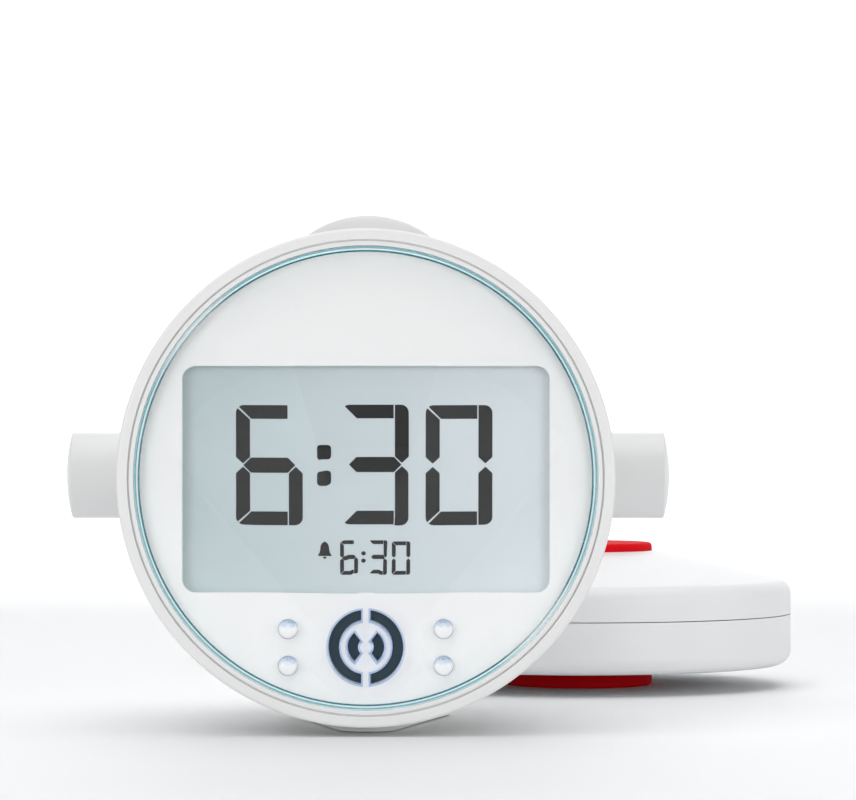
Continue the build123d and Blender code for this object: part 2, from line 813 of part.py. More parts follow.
with BuildPart() as snooze_board:
    with BuildSketch(Plane.XY.offset(collar_bottom)):
        with Locations((0, snooze_y)):
            Circle(collar_radius)
        with Locations(*lug_spots):
            Circle(lug_radius)
            Circle(board_screw_radius + running_fit, mode=Mode.SUBTRACT)
    extrude(amount=-board_thickness)
finish(snooze_board, "snooze_board")

snooze_board_bottom = collar_bottom - board_thickness
with BuildPart() as snooze_board_screws:
    with BuildSketch(Plane.XY.offset(snooze_board_bottom)):
        with Locations(*lug_spots):
            Circle(board_screw_head)
    extrude(amount=-board_screw_head / 2)
    with BuildSketch(Plane.XY.offset(snooze_board_bottom)):
        with Locations(*lug_spots):
            Circle(board_screw_radius)
    extrude(amount=board_screw_length)
finish(snooze_board_screws, "snooze_board_screws")

# Side knobs with their shafts and encoders
shaft_end = knob_end - knob_crown - 2 * knob_wall
shaft_start = encoder_face - encoder_thickness / 2
hub_start = encoder_face + bush_length + hub_gap
hub_length = shaft_end - hub_start
crown_radius = (knob_radius**2 + knob_crown**2) / (2 * knob_crown)
for side, name in ((-1, "alarm"), (1, "time")):
    knob_axis = Axis((0, front_y + knob_depth, axis_height), (side, 0, 0))
    knob_section = Plane(origin=knob_axis.position, x_dir=(side, 0, 0), z_dir=(0, -side, 0))

    with BuildPart() as knob:
        with BuildSketch(knob_section):
            with BuildLine():
                Polyline(
                    (knob_end, 0),
                    (shaft_end, 0),
                    (shaft_end, shaft_radius + seat_fit),
                    (hub_start, shaft_radius + seat_fit),
                    (hub_start, hub_radius),
                    (shaft_end, hub_radius),
                    (shaft_end, knob_radius - knob_wall),
                    (knob_start, knob_radius - knob_wall),
                    (knob_start, knob_radius),
                    (knob_end - knob_crown, knob_radius),
                )
                RadiusArc((knob_end - knob_crown, knob_radius), (knob_end, 0), crown_radius)
            make_face()
        revolve(axis=knob_axis)
        outer_edges = knob.edges().filter_by(GeomType.CIRCLE).sort_by(SortBy.RADIUS)[-2:]
        fillet(outer_edges, radius=knob_edge_round)
        with BuildSketch(side_plane(side, hub_start)):
            with Locations((0, shaft_flat + seat_fit)):
                Rectangle(2 * shaft_radius, shaft_radius, align=(Align.CENTER, Align.MIN))
            Circle(hub_radius, mode=Mode.INTERSECT)
        extrude(amount=hub_length)
    finish(knob, f"{name}_knob")

    with BuildPart() as shaft:
        with BuildSketch(side_plane(side, shaft_start)):
            Circle(shaft_radius)
        extrude(amount=shaft_end - shaft_start - seat_fit)
        with BuildSketch(side_plane(side, hub_start - seat_fit)):
            with Locations((0, shaft_flat)):
                Rectangle(2 * shaft_radius, shaft_radius, align=(Align.CENTER, Align.MIN))
        extrude(amount=hub_length + knob_wall, mode=Mode.SUBTRACT)
    finish(shaft, f"{name}_shaft")

    with BuildPart() as encoder:
        with BuildSketch(side_plane(side, encoder_face - encoder_thickness)):
            Rectangle(encoder_width, encoder_width)
        extrude(amount=encoder_thickness)
        with BuildSketch(side_plane(side, encoder_face)):
            Circle(bush_radius)
        extrude(amount=bush_length)
        with BuildSketch(side_plane(side, shaft_start - part_gap)):
            Circle(shaft_radius + running_fit)
        extrude(amount=encoder_thickness + bush_length, mode=Mode.SUBTRACT)
    finish(encoder, f"{name}_encoder")

with BuildPart() as encoder_nuts:
    for side in (-1, 1):
        with BuildSketch(side_plane(side, knob_seat)):
            RegularPolygon(nut_flats / 2, 6, major_radius=False)
            Circle(bush_radius + seat_fit, mode=Mode.SUBTRACT)
        extrude(amount=nut_thickness)
finish(encoder_nuts, "encoder_nuts")

# Backup cells: four in the bay, two deep and two high
cell_rows = [-bay_drop + side * (cell_diameter + cell_gap) / 2 for side in (-1, 1)]
cell_columns = [bay_floor + cell_gap + cell_diameter * (i + 0.5) + cell_gap * i for i in range(2)]
cell_start = -(cell_length + cell_nub) / 2
with BuildPart() as backup_cells:
    for column in cell_columns:
        for row in cell_rows:
            cell_end = Plane(
                origin=(cell_start, front_y + column, axis_height + row),
                x_dir=(0, 1, 0),
                z_dir=(1, 0, 0),
            )
            with BuildSketch(cell_end):
                Circle(cell_diameter / 2)
            extrude(amount=cell_length)
            with BuildSketch(cell_end.offset(cell_length)):
                Circle(cell_nub_radius)
            extrude(amount=cell_nub)
finish(backup_cells, "backup_cells")

# Battery contacts: sprung plates on both side walls of the bay, pressed on the cell ends
with BuildPart() as battery_contacts:
    for side in (-1, 1):
        for column in cell_columns:
            contact_wall = Plane(
                origin=(side * bay_width / 2, front_y + column, axis_height - bay_drop),
                x_dir=(0, 1, 0),
                z_dir=(-side, 0, 0),
            )
            with BuildSketch(contact_wall):
                Rectangle(contact_width, bay_height - 2 * cell_gap)
            extrude(amount=contact_thickness)
            with BuildSketch(contact_wall):
                with Locations((0, cell_rows[0] + bay_drop), (0, cell_rows[1] + bay_drop)):
                    Circle(cell_nub_radius)
            extrude(amount=contact_room)
finish(battery_contacts, "battery_contacts")

# Battery door: a piece of the barrel's skin with two ribs that keep the cells in
rib_reach = cell_back + part_gap
with BuildPart() as door_inside:
    revolve(barrel(barrel_wall - shell_fit, bay_floor - rib), axis=clock_axis)
    with BuildSketch(dial_plane(rib_reach)):
        with Locations((-bay_width / 4, -bay_drop), (bay_width / 4, -bay_drop)):
            Rectangle(rib, bay_height - 2 * cell_gap - 2 * part_gap)
    extrude(amount=-body_depth, mode=Mode.SUBTRACT)

with BuildPart() as battery_door:
    revolve(barrel(0, bay_floor), axis=clock_axis)
    with BuildSketch(dial_plane(body_depth)):
        with Locations((0, -bay_drop)):
            RectangleRounded(door_width - 2 * part_gap, door_height - 2 * part_gap, door_corner - part_gap)
    extrude(amount=body_depth - bay_floor, mode=Mode.INTERSECT)
    add(door_inside.part, mode=Mode.SUBTRACT)
    with BuildSketch(dial_plane(body_depth)):
        with Locations((0, door_height / 2 - bay_drop)):
            Circle(door_pull_radius)
    extrude(amount=door_pull_depth, mode=Mode.SUBTRACT)
finish(battery_door, "battery_door")

# Socket panel: plate that floors the window in the back, pressed on its rim by the sockets
with BuildPart() as socket_panel:
    with BuildSketch(dial_plane(recess_floor)):
        with Locations((0, recess_rise)):
            RectangleRounded(recess_width + 2 * rib, recess_height + 2 * rib, recess_corner + rib)
        with Locations((-socket_spread, recess_rise)):
            Circle(power_nose_radius + shell_fit, mode=Mode.SUBTRACT)
        with Locations((socket_spread, recess_rise)):
            Circle(shaker_nose_radius + shell_fit, mode=Mode.SUBTRACT)
    extrude(amount=barrel_wall)
finish(socket_panel, "socket_panel")

# Sockets on their board behind the panel
with BuildPart() as connector_board:
    with BuildSketch(dial_plane(jack_back)):
        with Locations((0, recess_rise)):
            RectangleRounded(2 * (post_spread + post_radius + post_gap), connector_board_height, rib)
        with Locations((-post_spread, recess_rise), (post_spread, recess_rise)):
            Circle(board_screw_radius + running_fit, mode=Mode.SUBTRACT)
    extrude(amount=board_thickness)
finish(connector_board, "connector_board")

with BuildPart() as connector_screws:
    with BuildSketch(dial_plane(jack_back - board_thickness)):
        with Locations((-post_spread, recess_rise), (post_spread, recess_rise)):
            Circle(board_screw_head)
    extrude(amount=board_screw_head / 2)
    with BuildSketch(dial_plane(jack_back - board_thickness)):
        with Locations((-post_spread, recess_rise), (post_spread, recess_rise)):
            Circle(board_screw_radius)
    extrude(amount=-board_screw_length)
finish(connector_screws, "connector_screws")

for name, x, nose, bore, depth in (
    ("power_jack", -socket_spread, power_nose_radius, power_bore_radius, power_bore_depth),
    ("shaker_jack", socket_spread, shaker_nose_radius, shaker_bore_radius, shaker_bore_depth),
):
    with BuildPart() as jack:
        with BuildSketch(dial_plane(jack_back)):
            with Locations((x, recess_rise)):
                Rectangle(jack_width, jack_height)
        extrude(amount=-jack_length)
        with BuildSketch(dial_plane(jack_front)):
            with Locations((x, recess_rise)):
                Circle(nose)
        extrude(amount=-barrel_wall)
        with BuildSketch(dial_plane(recess_floor)):
            with Locations((x, recess_rise)):
                Circle(bore)
        extrude(amount=depth, mode=Mode.SUBTRACT)
    finish(jack, name)

with BuildPart() as power_jack_pin:
    with BuildSketch(dial_plane(recess_floor - power_bore_depth)):
        with Locations((-socket_spread, recess_rise)):
            Circle(power_pin_radius)
    extrude(amount=-(power_bore_depth - power_pin_radius))
finish(power_jack_pin, "power_jack_pin")

# Shaker: planes and heights
shaker_y = front_y + body_depth + shaker_gap + puck_radius
shaker_axis = Axis((shaker_x, shaker_y, 0), (0, 0, 1))
shaker_section = Plane(origin=(shaker_x, shaker_y, 0), x_dir=(1, 0, 0), z_dir=(0, -1, 0))
shaker_floor = Plane(origin=(shaker_x, shaker_y, 0))
puck_height = 2 * (pad_stand + pad_sink + puck_wall + motor_room + motor_radius)
puck_seam = puck_height / 2 + puck_seam_lift
puck_rim_top = puck_seam + puck_rim_rise
puck_rim_bottom = puck_seam - puck_rim_fall
crown_top = puck_height - top_pad_stand
crown_bottom = pad_stand
pad_seat_radius = pad_radius + shell_fit
ceiling = crown_top - pad_sink - puck_wall
ground = crown_bottom + pad_sink + puck_wall
upper_seam = puck_seam + puck_seam_gap / 2
lower_seam = puck_seam - puck_seam_gap / 2
motor_height = puck_height / 2
lip_radius = puck_radius - puck_wall - shell_fit
lip_bore = lip_radius - rib
pillar_ring = lip_bore - puck_pillar_radius - pillar_setback
pillar_spots = [(pillar_ring * cos(radians(a)), pillar_ring * sin(radians(a))) for a in pillar_angles]


def puck_half(rim, crown, seam, inset):
    """Half of the puck from its seam to its crown, drawn inside its skin by an inset."""
    inward = inset if crown < seam else -inset
    with BuildSketch(shaker_section) as half:
        with BuildLine():
            Polyline(
                (0, seam),
                (puck_radius - inset, seam),
                (puck_radius - inset, rim + inward),
                (pad_seat_radius, crown + inward),
                (0, crown + inward),
                close=True,
            )
        make_face()
        rim_corner = half.vertices().sort_by_distance((puck_radius - inset, rim + inward))[0]
        fillet(rim_corner, radius=puck_rim_round - inset / 2)
    return half.sketch


def shaker_disc(height, radius):
    """Circle about the shaker's own axis."""
    with BuildSketch(shaker_floor.offset(height)) as disc:
        Circle(radius)
    return disc.sketch


def axle_plane(distance):
    """Plane square to the motor's axis, distance along X from the puck's centre."""
    return Plane(
        origin=(shaker_x + distance, shaker_y, motor_height),
        x_dir=(0, 1, 0),
        z_dir=(1, 0, 0),
    )


motor_back = motor_middle - motor_length / 2
motor_front = motor_middle + motor_length / 2
nose_front = motor_front + motor_nose
clamp_lug_y = motor_radius + clamp_lug - clamp_thickness
clamp_lug_height = motor_height - clamp_thickness - rib
clamp_spots = [(motor_middle, side * clamp_lug_y) for side in (-1, 1)]
gland_seat = sqrt(lip_bore**2 - gland_flange_radius**2) - shell_fit
gland_length = puck_radius + gland_stand - gland_seat
gland_plane = Plane(
    origin=(shaker_x, shaker_y + gland_seat, puck_seam),
    x_dir=(1, 0, 0),
    z_dir=(0, 1, 0),
)
pillar_top = puck_seam - part_gap / 2
head_ledge = motor_height - motor_radius + rib

# Inside of the lower half, with pillars, cradle and clamp bosses left standing
with BuildPart() as lower_hollow:
    revolve(puck_half(puck_rim_bottom, crown_bottom, puck_seam, puck_wall), axis=shaker_axis)
    floor_disc = shaker_disc(crown_bottom, pad_seat_radius + puck_wall)
    extrude(floor_disc, amount=ground - crown_bottom, mode=Mode.SUBTRACT)
    with BuildSketch(shaker_floor):
        with Locations(*pillar_spots):
            Circle(puck_pillar_radius)
    extrude(amount=pillar_top, mode=Mode.SUBTRACT)
    with BuildSketch(shaker_floor):
        with Locations(*clamp_spots):
            Circle(clamp_lug / 2)
    extrude(amount=clamp_lug_height, mode=Mode.SUBTRACT)
    with BuildSketch(shaker_floor):
        with Locations((motor_back + cradle_inset, 0), (motor_front - cradle_inset, 0)):
            Rectangle(rib, 2 * cradle_half_width)
    extrude(amount=motor_height - cradle_drop, mode=Mode.SUBTRACT)

with BuildPart() as shaker_lower_shell:
    revolve(puck_half(puck_rim_bottom, crown_bottom, lower_seam, 0), axis=shaker_axis)
    add(lower_hollow.part, mode=Mode.SUBTRACT)
    with BuildSketch(shaker_floor.offset(lower_seam)):
        Circle(lip_radius)
        Circle(lip_bore, mode=Mode.SUBTRACT)
    extrude(amount=puck_lip)
    with BuildSketch(shaker_floor.offset(lower_seam)):
        Circle(puck_radius - puck_wall / 2)
        Circle(lip_bore, mode=Mode.SUBTRACT)
    extrude(amount=-puck_lip)
    with BuildSketch(axle_plane(motor_back)):
        Circle(motor_radius + running_fit)
    extrude(amount=motor_length, mode=Mode.SUBTRACT)
    extrude(shaker_disc(0, pad_seat_radius), amount=crown_bottom + pad_sink, mode=Mode.SUBTRACT)
    with BuildSketch(shaker_floor):
        with Locations(*pillar_spots):
            Circle(well_radius)
    extrude(amount=head_ledge, mode=Mode.SUBTRACT)
    with BuildSketch(shaker_floor):
        with Locations(*pillar_spots):
            Circle(screw_radius + shell_fit)
    extrude(amount=puck_seam, mode=Mode.SUBTRACT)
    with BuildSketch(shaker_floor.offset(clamp_lug_height)):
        with Locations(*clamp_spots):
            Circle(board_screw_radius + running_fit)
    extrude(amount=-board_screw_length, mode=Mode.SUBTRACT)
    with BuildSketch(gland_plane):
        Circle(gland_radius + shell_fit)
    extrude(amount=gland_length, mode=Mode.SUBTRACT)
finish(shaker_lower_shell, "shaker_lower_shell")

# Inside of the upper half, with the screw pillars left standing
with BuildPart() as upper_hollow:
    revolve(puck_half(puck_rim_top, crown_top, puck_seam, puck_wall), axis=shaker_axis)
    ceiling_disc = shaker_disc(crown_top, pad_seat_radius + puck_wall)
    extrude(ceiling_disc, amount=ceiling - crown_top, mode=Mode.SUBTRACT)
    with BuildSketch(shaker_floor.offset(pillar_top + part_gap)):
        with Locations(*pillar_spots):
            Circle(puck_pillar_radius)
    extrude(amount=puck_height, mode=Mode.SUBTRACT)

with BuildPart() as shaker_upper_shell:
    revolve(puck_half(puck_rim_top, crown_top, upper_seam, 0), axis=shaker_axis)
    add(upper_hollow.part, mode=Mode.SUBTRACT)
    pad_seat = shaker_disc(puck_height, pad_seat_radius)
    extrude(pad_seat, amount=-(top_pad_stand + pad_sink), mode=Mode.SUBTRACT)
    with BuildSketch(shaker_floor.offset(pillar_top + part_gap)):
        with Locations(*pillar_spots):
            Circle(screw_radius + running_fit)
    extrude(amount=screw_grip, mode=Mode.SUBTRACT)
    with BuildSketch(gland_plane):
        Circle(gland_radius + shell_fit)
    extrude(amount=gland_length, mode=Mode.SUBTRACT)
finish(shaker_upper_shell, "shaker_upper_shell")

# Red rubber pads on both faces
with BuildPart() as shaker_top_pad:
    extrude(shaker_disc(crown_top - pad_sink, pad_radius), amount=top_pad_stand + pad_sink)
    fillet(shaker_top_pad.edges().group_by(Axis.Z)[-1], radius=pad_round)
finish(shaker_top_pad, "shaker_top_pad")

with BuildPart() as shaker_bottom_pad:
    extrude(shaker_disc(0, pad_radius), amount=pad_stand + pad_sink)
    fillet(shaker_bottom_pad.edges().group_by(Axis.Z)[0], radius=pad_round)
finish(shaker_bottom_pad, "shaker_bottom_pad")

# Motor in its cradle, shaft, eccentric weight hanging down, and the clamp over the motor
with BuildPart() as shaker_motor:
    with BuildSketch(axle_plane(motor_back)):
        Circle(motor_radius)
    extrude(amount=motor_length)
    with BuildSketch(axle_plane(motor_front)):
        Circle(motor_nose_radius)
    extrude(amount=motor_nose)
    with BuildSketch(axle_plane(nose_front)):
        Circle(motor_shaft_radius + running_fit)
    extrude(amount=-(motor_length / 2 + motor_nose + part_gap), mode=Mode.SUBTRACT)
finish(shaker_motor, "shaker_motor")

with BuildPart() as motor_shaft:
    with BuildSketch(axle_plane(motor_middle)):
        Circle(motor_shaft_radius)
    extrude(amount=motor_length / 2 + motor_nose + motor_shaft_reach)
finish(motor_shaft, "motor_shaft")

with BuildPart() as eccentric_weight:
    with BuildSketch(axle_plane(nose_front + weight_gap)):
        Circle(weight_radius)
        Rectangle(2 * weight_radius, weight_radius, align=(Align.CENTER, Align.MIN), mode=Mode.SUBTRACT)
        Circle(weight_hub_radius)
        Circle(motor_shaft_radius + seat_fit, mode=Mode.SUBTRACT)
    extrude(amount=weight_length)
finish(eccentric_weight, "eccentric_weight")

clamp_bore = motor_radius + running_fit
with BuildPart() as motor_clamp:
    with BuildSketch(axle_plane(motor_middle - clamp_width / 2)):
        Circle(clamp_bore + clamp_thickness)
        with Locations((0, -clamp_thickness - rib / 2)):
            Rectangle(2 * clamp_lug_y + clamp_lug, rib)
        Circle(clamp_bore, mode=Mode.SUBTRACT)
        with Locations((0, clamp_lug_height - motor_height)):
            Rectangle(4 * motor_radius, 4 * motor_radius, align=(Align.CENTER, Align.MAX), mode=Mode.SUBTRACT)
    extrude(amount=clamp_width)
    with BuildSketch(shaker_floor):
        with Locations(*clamp_spots):
            Circle(board_screw_radius + running_fit)
    extrude(amount=puck_height, mode=Mode.SUBTRACT)
finish(motor_clamp, "motor_clamp")

clamp_head = clamp_lug_height + rib
with BuildPart() as motor_clamp_screws:
    with BuildSketch(shaker_floor.offset(clamp_head)):
        with Locations(*clamp_spots):
            Circle(board_screw_head)
    extrude(amount=board_screw_head / 2)
    with BuildSketch(shaker_floor.offset(clamp_head)):
        with Locations(*clamp_spots):
            Circle(board_screw_radius)
    extrude(amount=-board_screw_length)
finish(motor_clamp_screws, "motor_clamp_screws")

# Rubber grommet held in the seam at the puck's back
with BuildPart() as cable_gland:
    with BuildSketch(gland_plane):
        Circle(gland_radius)
    extrude(amount=gland_length)
    with BuildSketch(gland_plane):
        Circle(gland_flange_radius)
    extrude(amount=-gland_flange)
    with BuildSketch(gland_plane):
        Circle(gland_bore)
    extrude(amount=gland_length, both=True, mode=Mode.SUBTRACT)
finish(cable_gland, "cable_gland")

# Screws that close the puck from below
with BuildPart() as shaker_screws:
    with BuildSketch(shaker_floor.offset(head_ledge)):
        with Locations(*pillar_spots):
            Circle(screw_head_radius)
    extrude(amount=-screw_head_height)
    with BuildSketch(shaker_floor.offset(head_ledge)):
        with Locations(*pillar_spots):
            Circle(screw_radius)
    extrude(amount=pillar_top - head_ledge + screw_grip - rib)
finish(shaker_screws, "shaker_screws")
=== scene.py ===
import bmesh
import bpy
from math import asin, cos, pi, radians, sin, sqrt
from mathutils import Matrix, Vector


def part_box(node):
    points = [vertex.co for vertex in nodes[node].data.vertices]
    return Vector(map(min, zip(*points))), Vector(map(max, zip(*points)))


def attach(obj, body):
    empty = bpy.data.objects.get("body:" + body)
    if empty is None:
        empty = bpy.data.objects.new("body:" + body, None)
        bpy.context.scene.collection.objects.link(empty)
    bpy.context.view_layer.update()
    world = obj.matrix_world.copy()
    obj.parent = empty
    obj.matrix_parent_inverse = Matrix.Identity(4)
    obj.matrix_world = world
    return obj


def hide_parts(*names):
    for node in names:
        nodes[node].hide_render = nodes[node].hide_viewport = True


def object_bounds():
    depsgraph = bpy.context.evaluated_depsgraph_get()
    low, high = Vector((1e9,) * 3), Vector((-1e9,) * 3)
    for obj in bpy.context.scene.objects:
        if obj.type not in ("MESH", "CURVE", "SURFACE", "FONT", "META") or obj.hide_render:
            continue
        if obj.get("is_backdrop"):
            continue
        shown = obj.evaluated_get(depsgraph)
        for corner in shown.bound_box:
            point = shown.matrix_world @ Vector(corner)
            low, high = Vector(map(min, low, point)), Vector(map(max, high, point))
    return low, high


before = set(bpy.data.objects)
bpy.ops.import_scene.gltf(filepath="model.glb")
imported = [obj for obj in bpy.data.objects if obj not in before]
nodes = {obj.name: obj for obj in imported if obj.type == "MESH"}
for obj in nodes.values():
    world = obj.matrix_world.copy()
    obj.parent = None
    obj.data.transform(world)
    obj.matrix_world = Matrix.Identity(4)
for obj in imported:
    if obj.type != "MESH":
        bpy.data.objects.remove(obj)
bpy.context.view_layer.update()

# Front bezel: one white ABS ring with a rolled front edge, a shadow line round the lens and a ledge for it.
# Satin skin from a finely sparked mould; four screws from behind hold it to the housing.
low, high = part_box("front_bezel")
face_y = low.y
dial_z = (low.z + high.z) / 2
dial_steps = 240
quarter_steps = 12
bezel_rim = high.x
bezel_length = 0.01
bezel_wall = 0.0024
bezel_bore = bezel_rim - bezel_wall
bezel_crease = 35
lens_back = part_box("front_lens")[1].y - face_y
lens_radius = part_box("front_lens")[1].x
lens_play = 0.00015
bezel_seat = lens_radius + lens_play
line_inset = 0.00087
line_width = 0.00035
line_start = bezel_seat + line_inset
line_end = line_start + line_width
line_depth = 0.0006
edge_break = 0.00008
edge_round = 0.0007
fascia_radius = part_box("fascia")[1].x
fascia_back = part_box("fascia")[1].y - face_y
ledge_wall = 0.0005
ledge_back = fascia_back + ledge_wall
ledge_play = 0.0003
ledge_bore = fascia_radius + ledge_play
bezel_outline = [(edge_break, bezel_seat), (0.0, bezel_seat + edge_break), (0.0, line_start - edge_break)]
bezel_outline += [(edge_break, line_start), (line_depth, line_start), (line_depth, line_end)]
bezel_outline += [(edge_break, line_end), (0.0, line_end + edge_break)]
for step in range(quarter_steps + 1):
    turn = pi / 2 * step / quarter_steps
    radius = bezel_rim - edge_round + edge_round * sin(turn)
    bezel_outline.append((edge_round - edge_round * cos(turn), radius))
bezel_outline += [(bezel_length - edge_break, bezel_rim), (bezel_length, bezel_rim - edge_break)]
bezel_outline += [(bezel_length, bezel_bore), (ledge_back, bezel_bore), (ledge_back, ledge_bore)]
bezel_outline += [(lens_back, ledge_bore), (lens_back, bezel_seat)]
bezel_outline.append(bezel_outline[0])


def turn_profile(bm, points, middle, axis, steps):
    """Turn a line of points once round an axis, as on a lathe, and weld its seam and its poles."""
    line = [bm.verts.new(point) for point in points]
    edges = [bm.edges.new(pair) for pair in zip(line, line[1:])]
    bmesh.ops.spin(bm, geom=line + edges, cent=middle, axis=axis, angle=2 * pi, steps=steps, use_merge=True)
    bmesh.ops.remove_doubles(bm, verts=bm.verts, dist=1e-6)


def make_piece(name, bm, crease):
    """Turn a mesh's faces outwards and put it in the scene, smooth but for edges over crease degrees."""
    bmesh.ops.recalc_face_normals(bm, faces=bm.faces)
    mesh = bpy.data.meshes.new(name)
    bm.to_mesh(mesh)
    bm.free()
    if crease:
        mesh.shade_smooth()
        mesh.set_sharp_from_angle(angle=radians(crease))
    piece = bpy.data.objects.new(name, mesh)
    bpy.context.scene.collection.objects.link(piece)
    return piece


def start_finish(name):
    """Start a finish, and give it with its node tree, its shader and the coordinates on its piece."""
    finish = bpy.data.materials.new(name)
    finish.use_nodes = True
    tree = finish.node_tree
    return finish, tree, tree.nodes["Principled BSDF"], tree.nodes.new("ShaderNodeTexCoord")


def grained_finish(name, tint, scale, glossy, matt, detail=2, metal=0, relief=0, depth=0):
    """A finish whose gloss follows a fine grain; with a depth, its skin rises and falls with it too."""
    finish, tree, shader, place = start_finish(name)
    shader.inputs["Base Color"].default_value = tint
    shader.inputs["Metallic"].default_value = metal
    grain = tree.nodes.new("ShaderNodeTexNoise")
    grain.inputs["Scale"].default_value = scale
    grain.inputs["Detail"].default_value = detail
    gloss = tree.nodes.new("ShaderNodeMapRange")
    gloss.inputs["To Min"].default_value = glossy
    gloss.inputs["To Max"].default_value = matt
    tree.links.new(place.outputs["Object"], grain.inputs["Vector"])
    tree.links.new(grain.outputs["Fac"], gloss.inputs["Value"])
    tree.links.new(gloss.outputs["Result"], shader.inputs["Roughness"])
    if depth:
        bump = tree.nodes.new("ShaderNodeBump")
        bump.inputs["Strength"].default_value = relief
        bump.inputs["Distance"].default_value = depth
        tree.links.new(grain.outputs["Fac"], bump.inputs["Height"])
        tree.links.new(bump.outputs["Normal"], shader.inputs["Normal"])
    return finish


dial_middle = (0, face_y, dial_z)
bm = bmesh.new()
points = [(radius, face_y + depth, dial_z) for depth, radius in bezel_outline]
turn_profile(bm, points, dial_middle, (0, 1, 0), dial_steps)
bezel_ring = make_piece("bezel_ring", bm, bezel_crease)
bezel_tint = (0.80, 0.80, 0.795, 1)
bezel_skin = {"detail": 4, "relief": 0.06, "depth": 0.00004}
bezel_white = grained_finish("bezel_white", bezel_tint, 2600, 0.30, 0.42, **bezel_skin)
bezel_white.node_tree.nodes["Principled BSDF"].inputs["IOR"].default_value = 1.5
bezel_ring.data.materials.append(bezel_white)
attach(bezel_ring, "clock")
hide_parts("front_bezel")

# Front lens: clear acrylic disc with a polished rounded rim, pierced for the sounder and the four lamps.
# The slots have bevelled edges; the disc is glued on the bezel's ledge.
lens_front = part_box("front_lens")[0].y - face_y
glue_gap = 0.00005
lens_rear = lens_back - glue_gap
lens_round = 0.0011
lens_break = 0.0002
lens_crease = 30
low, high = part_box("sounder_mesh")
sounder_z = (low.z + high.z) / 2 - dial_z
slot_outer = 0.00735
slot_inner = 0.00525
slot_half_web = 0.00095
slot_steps = 47
core_outer = 0.0036
core_inner = 0.00155
core_half = radians(52)
core_steps = 23
slot_bevel = 0.00040
slot_shoulder = (0.00014, 0.00009)
slot_throat = 0.00035
lamp_rise = 0.0036
lamp_reach = 0.01525
lamp_places = [(a * lamp_reach, b * lamp_rise + sounder_z) for a in (-1, 1) for b in (-1, 1)]
lamp_hole = 0.00195
lamp_bevel = 0.2
lamp_steps = 40
bevels = [(slot_bevel, lens_front), (slot_shoulder[0], lens_front + slot_shoulder[1])]
bevels += [(0.0, lens_front + slot_throat), (0.0, lens_rear)]
hole_rings = []
for grow, depth in bevels:
    rings = []
    for side in (-1, 1):
        end = asin((slot_half_web - grow) / (slot_outer + grow))
        arc = [end + (pi - 2 * end) * k / slot_steps for k in range(slot_steps + 1)]
        ring = [(side * (slot_outer + grow) * sin(t), (slot_outer + grow) * cos(t)) for t in arc]
        end = asin((slot_half_web - grow) / (slot_inner - grow))
        arc = [pi - end - (pi - 2 * end) * k / slot_steps for k in range(slot_steps + 1)]
        ring += [(side * (slot_inner - grow) * sin(t), (slot_inner - grow) * cos(t)) for t in arc]
        rings.append([(x, z + sounder_z) for x, z in ring])
        spread = core_half + asin(grow / core_outer)
        arc = [spread - 2 * spread * k / core_steps for k in range(core_steps + 1)]
        ring = [(side * (core_outer + grow) * cos(t), (core_outer + grow) * sin(t)) for t in arc]
        spread = core_half + asin(grow / core_inner)
        arc = [-spread + 2 * spread * k / core_steps for k in range(core_steps + 1)]
        ring += [(side * (core_inner - grow) * cos(t), (core_inner - grow) * sin(t)) for t in arc]
        rings.append([(x, z + sounder_z) for x, z in ring])
    for x, z in lamp_places:
        arc = [2 * pi * k / lamp_steps for k in range(lamp_steps)]
        radius = lamp_hole + lamp_bevel * grow
        rings.append([(x + radius * cos(t), z + radius * sin(t)) for t in arc])
    hole_rings.append((depth, rings))
lens_outline = []
for step in range(quarter_steps + 1):
    turn = pi / 2 * step / quarter_steps
    depth = lens_front + lens_round - lens_round * cos(turn)
    lens_outline.append((depth, lens_radius - lens_round + lens_round * sin(turn)))
lens_outline += [(lens_rear - lens_break, lens_radius), (lens_rear, lens_radius - lens_break)]


def draw_ring(bm, ring, depth):
    """Draw a closed outline on the dial at a depth behind its front, and give its edges."""
    line = [bm.verts.new((x, face_y + depth, dial_z + z)) for x, z in ring]
    return [bm.edges.new(pair) for pair in zip(line, line[1:] + line[:1])]


def let_light_through(tree, shader, tint):
    """Let lamplight pass a clear piece, tinted, so that it throws only a faint shadow."""
    path = tree.nodes.new("ShaderNodeLightPath")
    clear = tree.nodes.new("ShaderNodeBsdfTransparent")
    clear.inputs["Color"].default_value = tint
    mix = tree.nodes.new("ShaderNodeMixShader")
    tree.links.new(path.outputs["Is Shadow Ray"], mix.inputs["Fac"])
    tree.links.new(shader.outputs["BSDF"], mix.inputs[1])
    tree.links.new(clear.outputs["BSDF"], mix.inputs[2])
    tree.links.new(mix.outputs["Shader"], tree.nodes["Material Output"].inputs["Surface"])


bm = bmesh.new()
points = [(radius, face_y + depth, dial_z) for depth, radius in lens_outline]
turn_profile(bm, points, dial_middle, (0, 1, 0), dial_steps)
for face in bm.faces:
    rounded = face.calc_center_median().y < face_y + lens_front + lens_round
    face.material_index = 1 if rounded else 0
borders = [edge for edge in bm.edges if edge.is_boundary]
front_border = [edge for edge in borders if edge.verts[0].co.y < face_y + lens_front + lens_round]
rear_border = [edge for edge in borders if edge not in front_border]
holes = [[draw_ring(bm, ring, depth) for ring in rings] for depth, rings in hole_rings]
for near, far in zip(holes, holes[1:]):
    for ring, deeper in zip(near, far):
        for side in bmesh.ops.bridge_loops(bm, edges=ring + deeper)["faces"]:
            side.material_index = 2 if len(ring) > lamp_steps else 0
for border, rings in ((front_border, holes[0]), (rear_border, holes[-1])):
    bmesh.ops.triangle_fill(bm, use_beauty=True, edges=border + sum(rings, []))
lens_disc = make_piece("lens_disc", bm, lens_crease)
lens_mesh = lens_disc.data
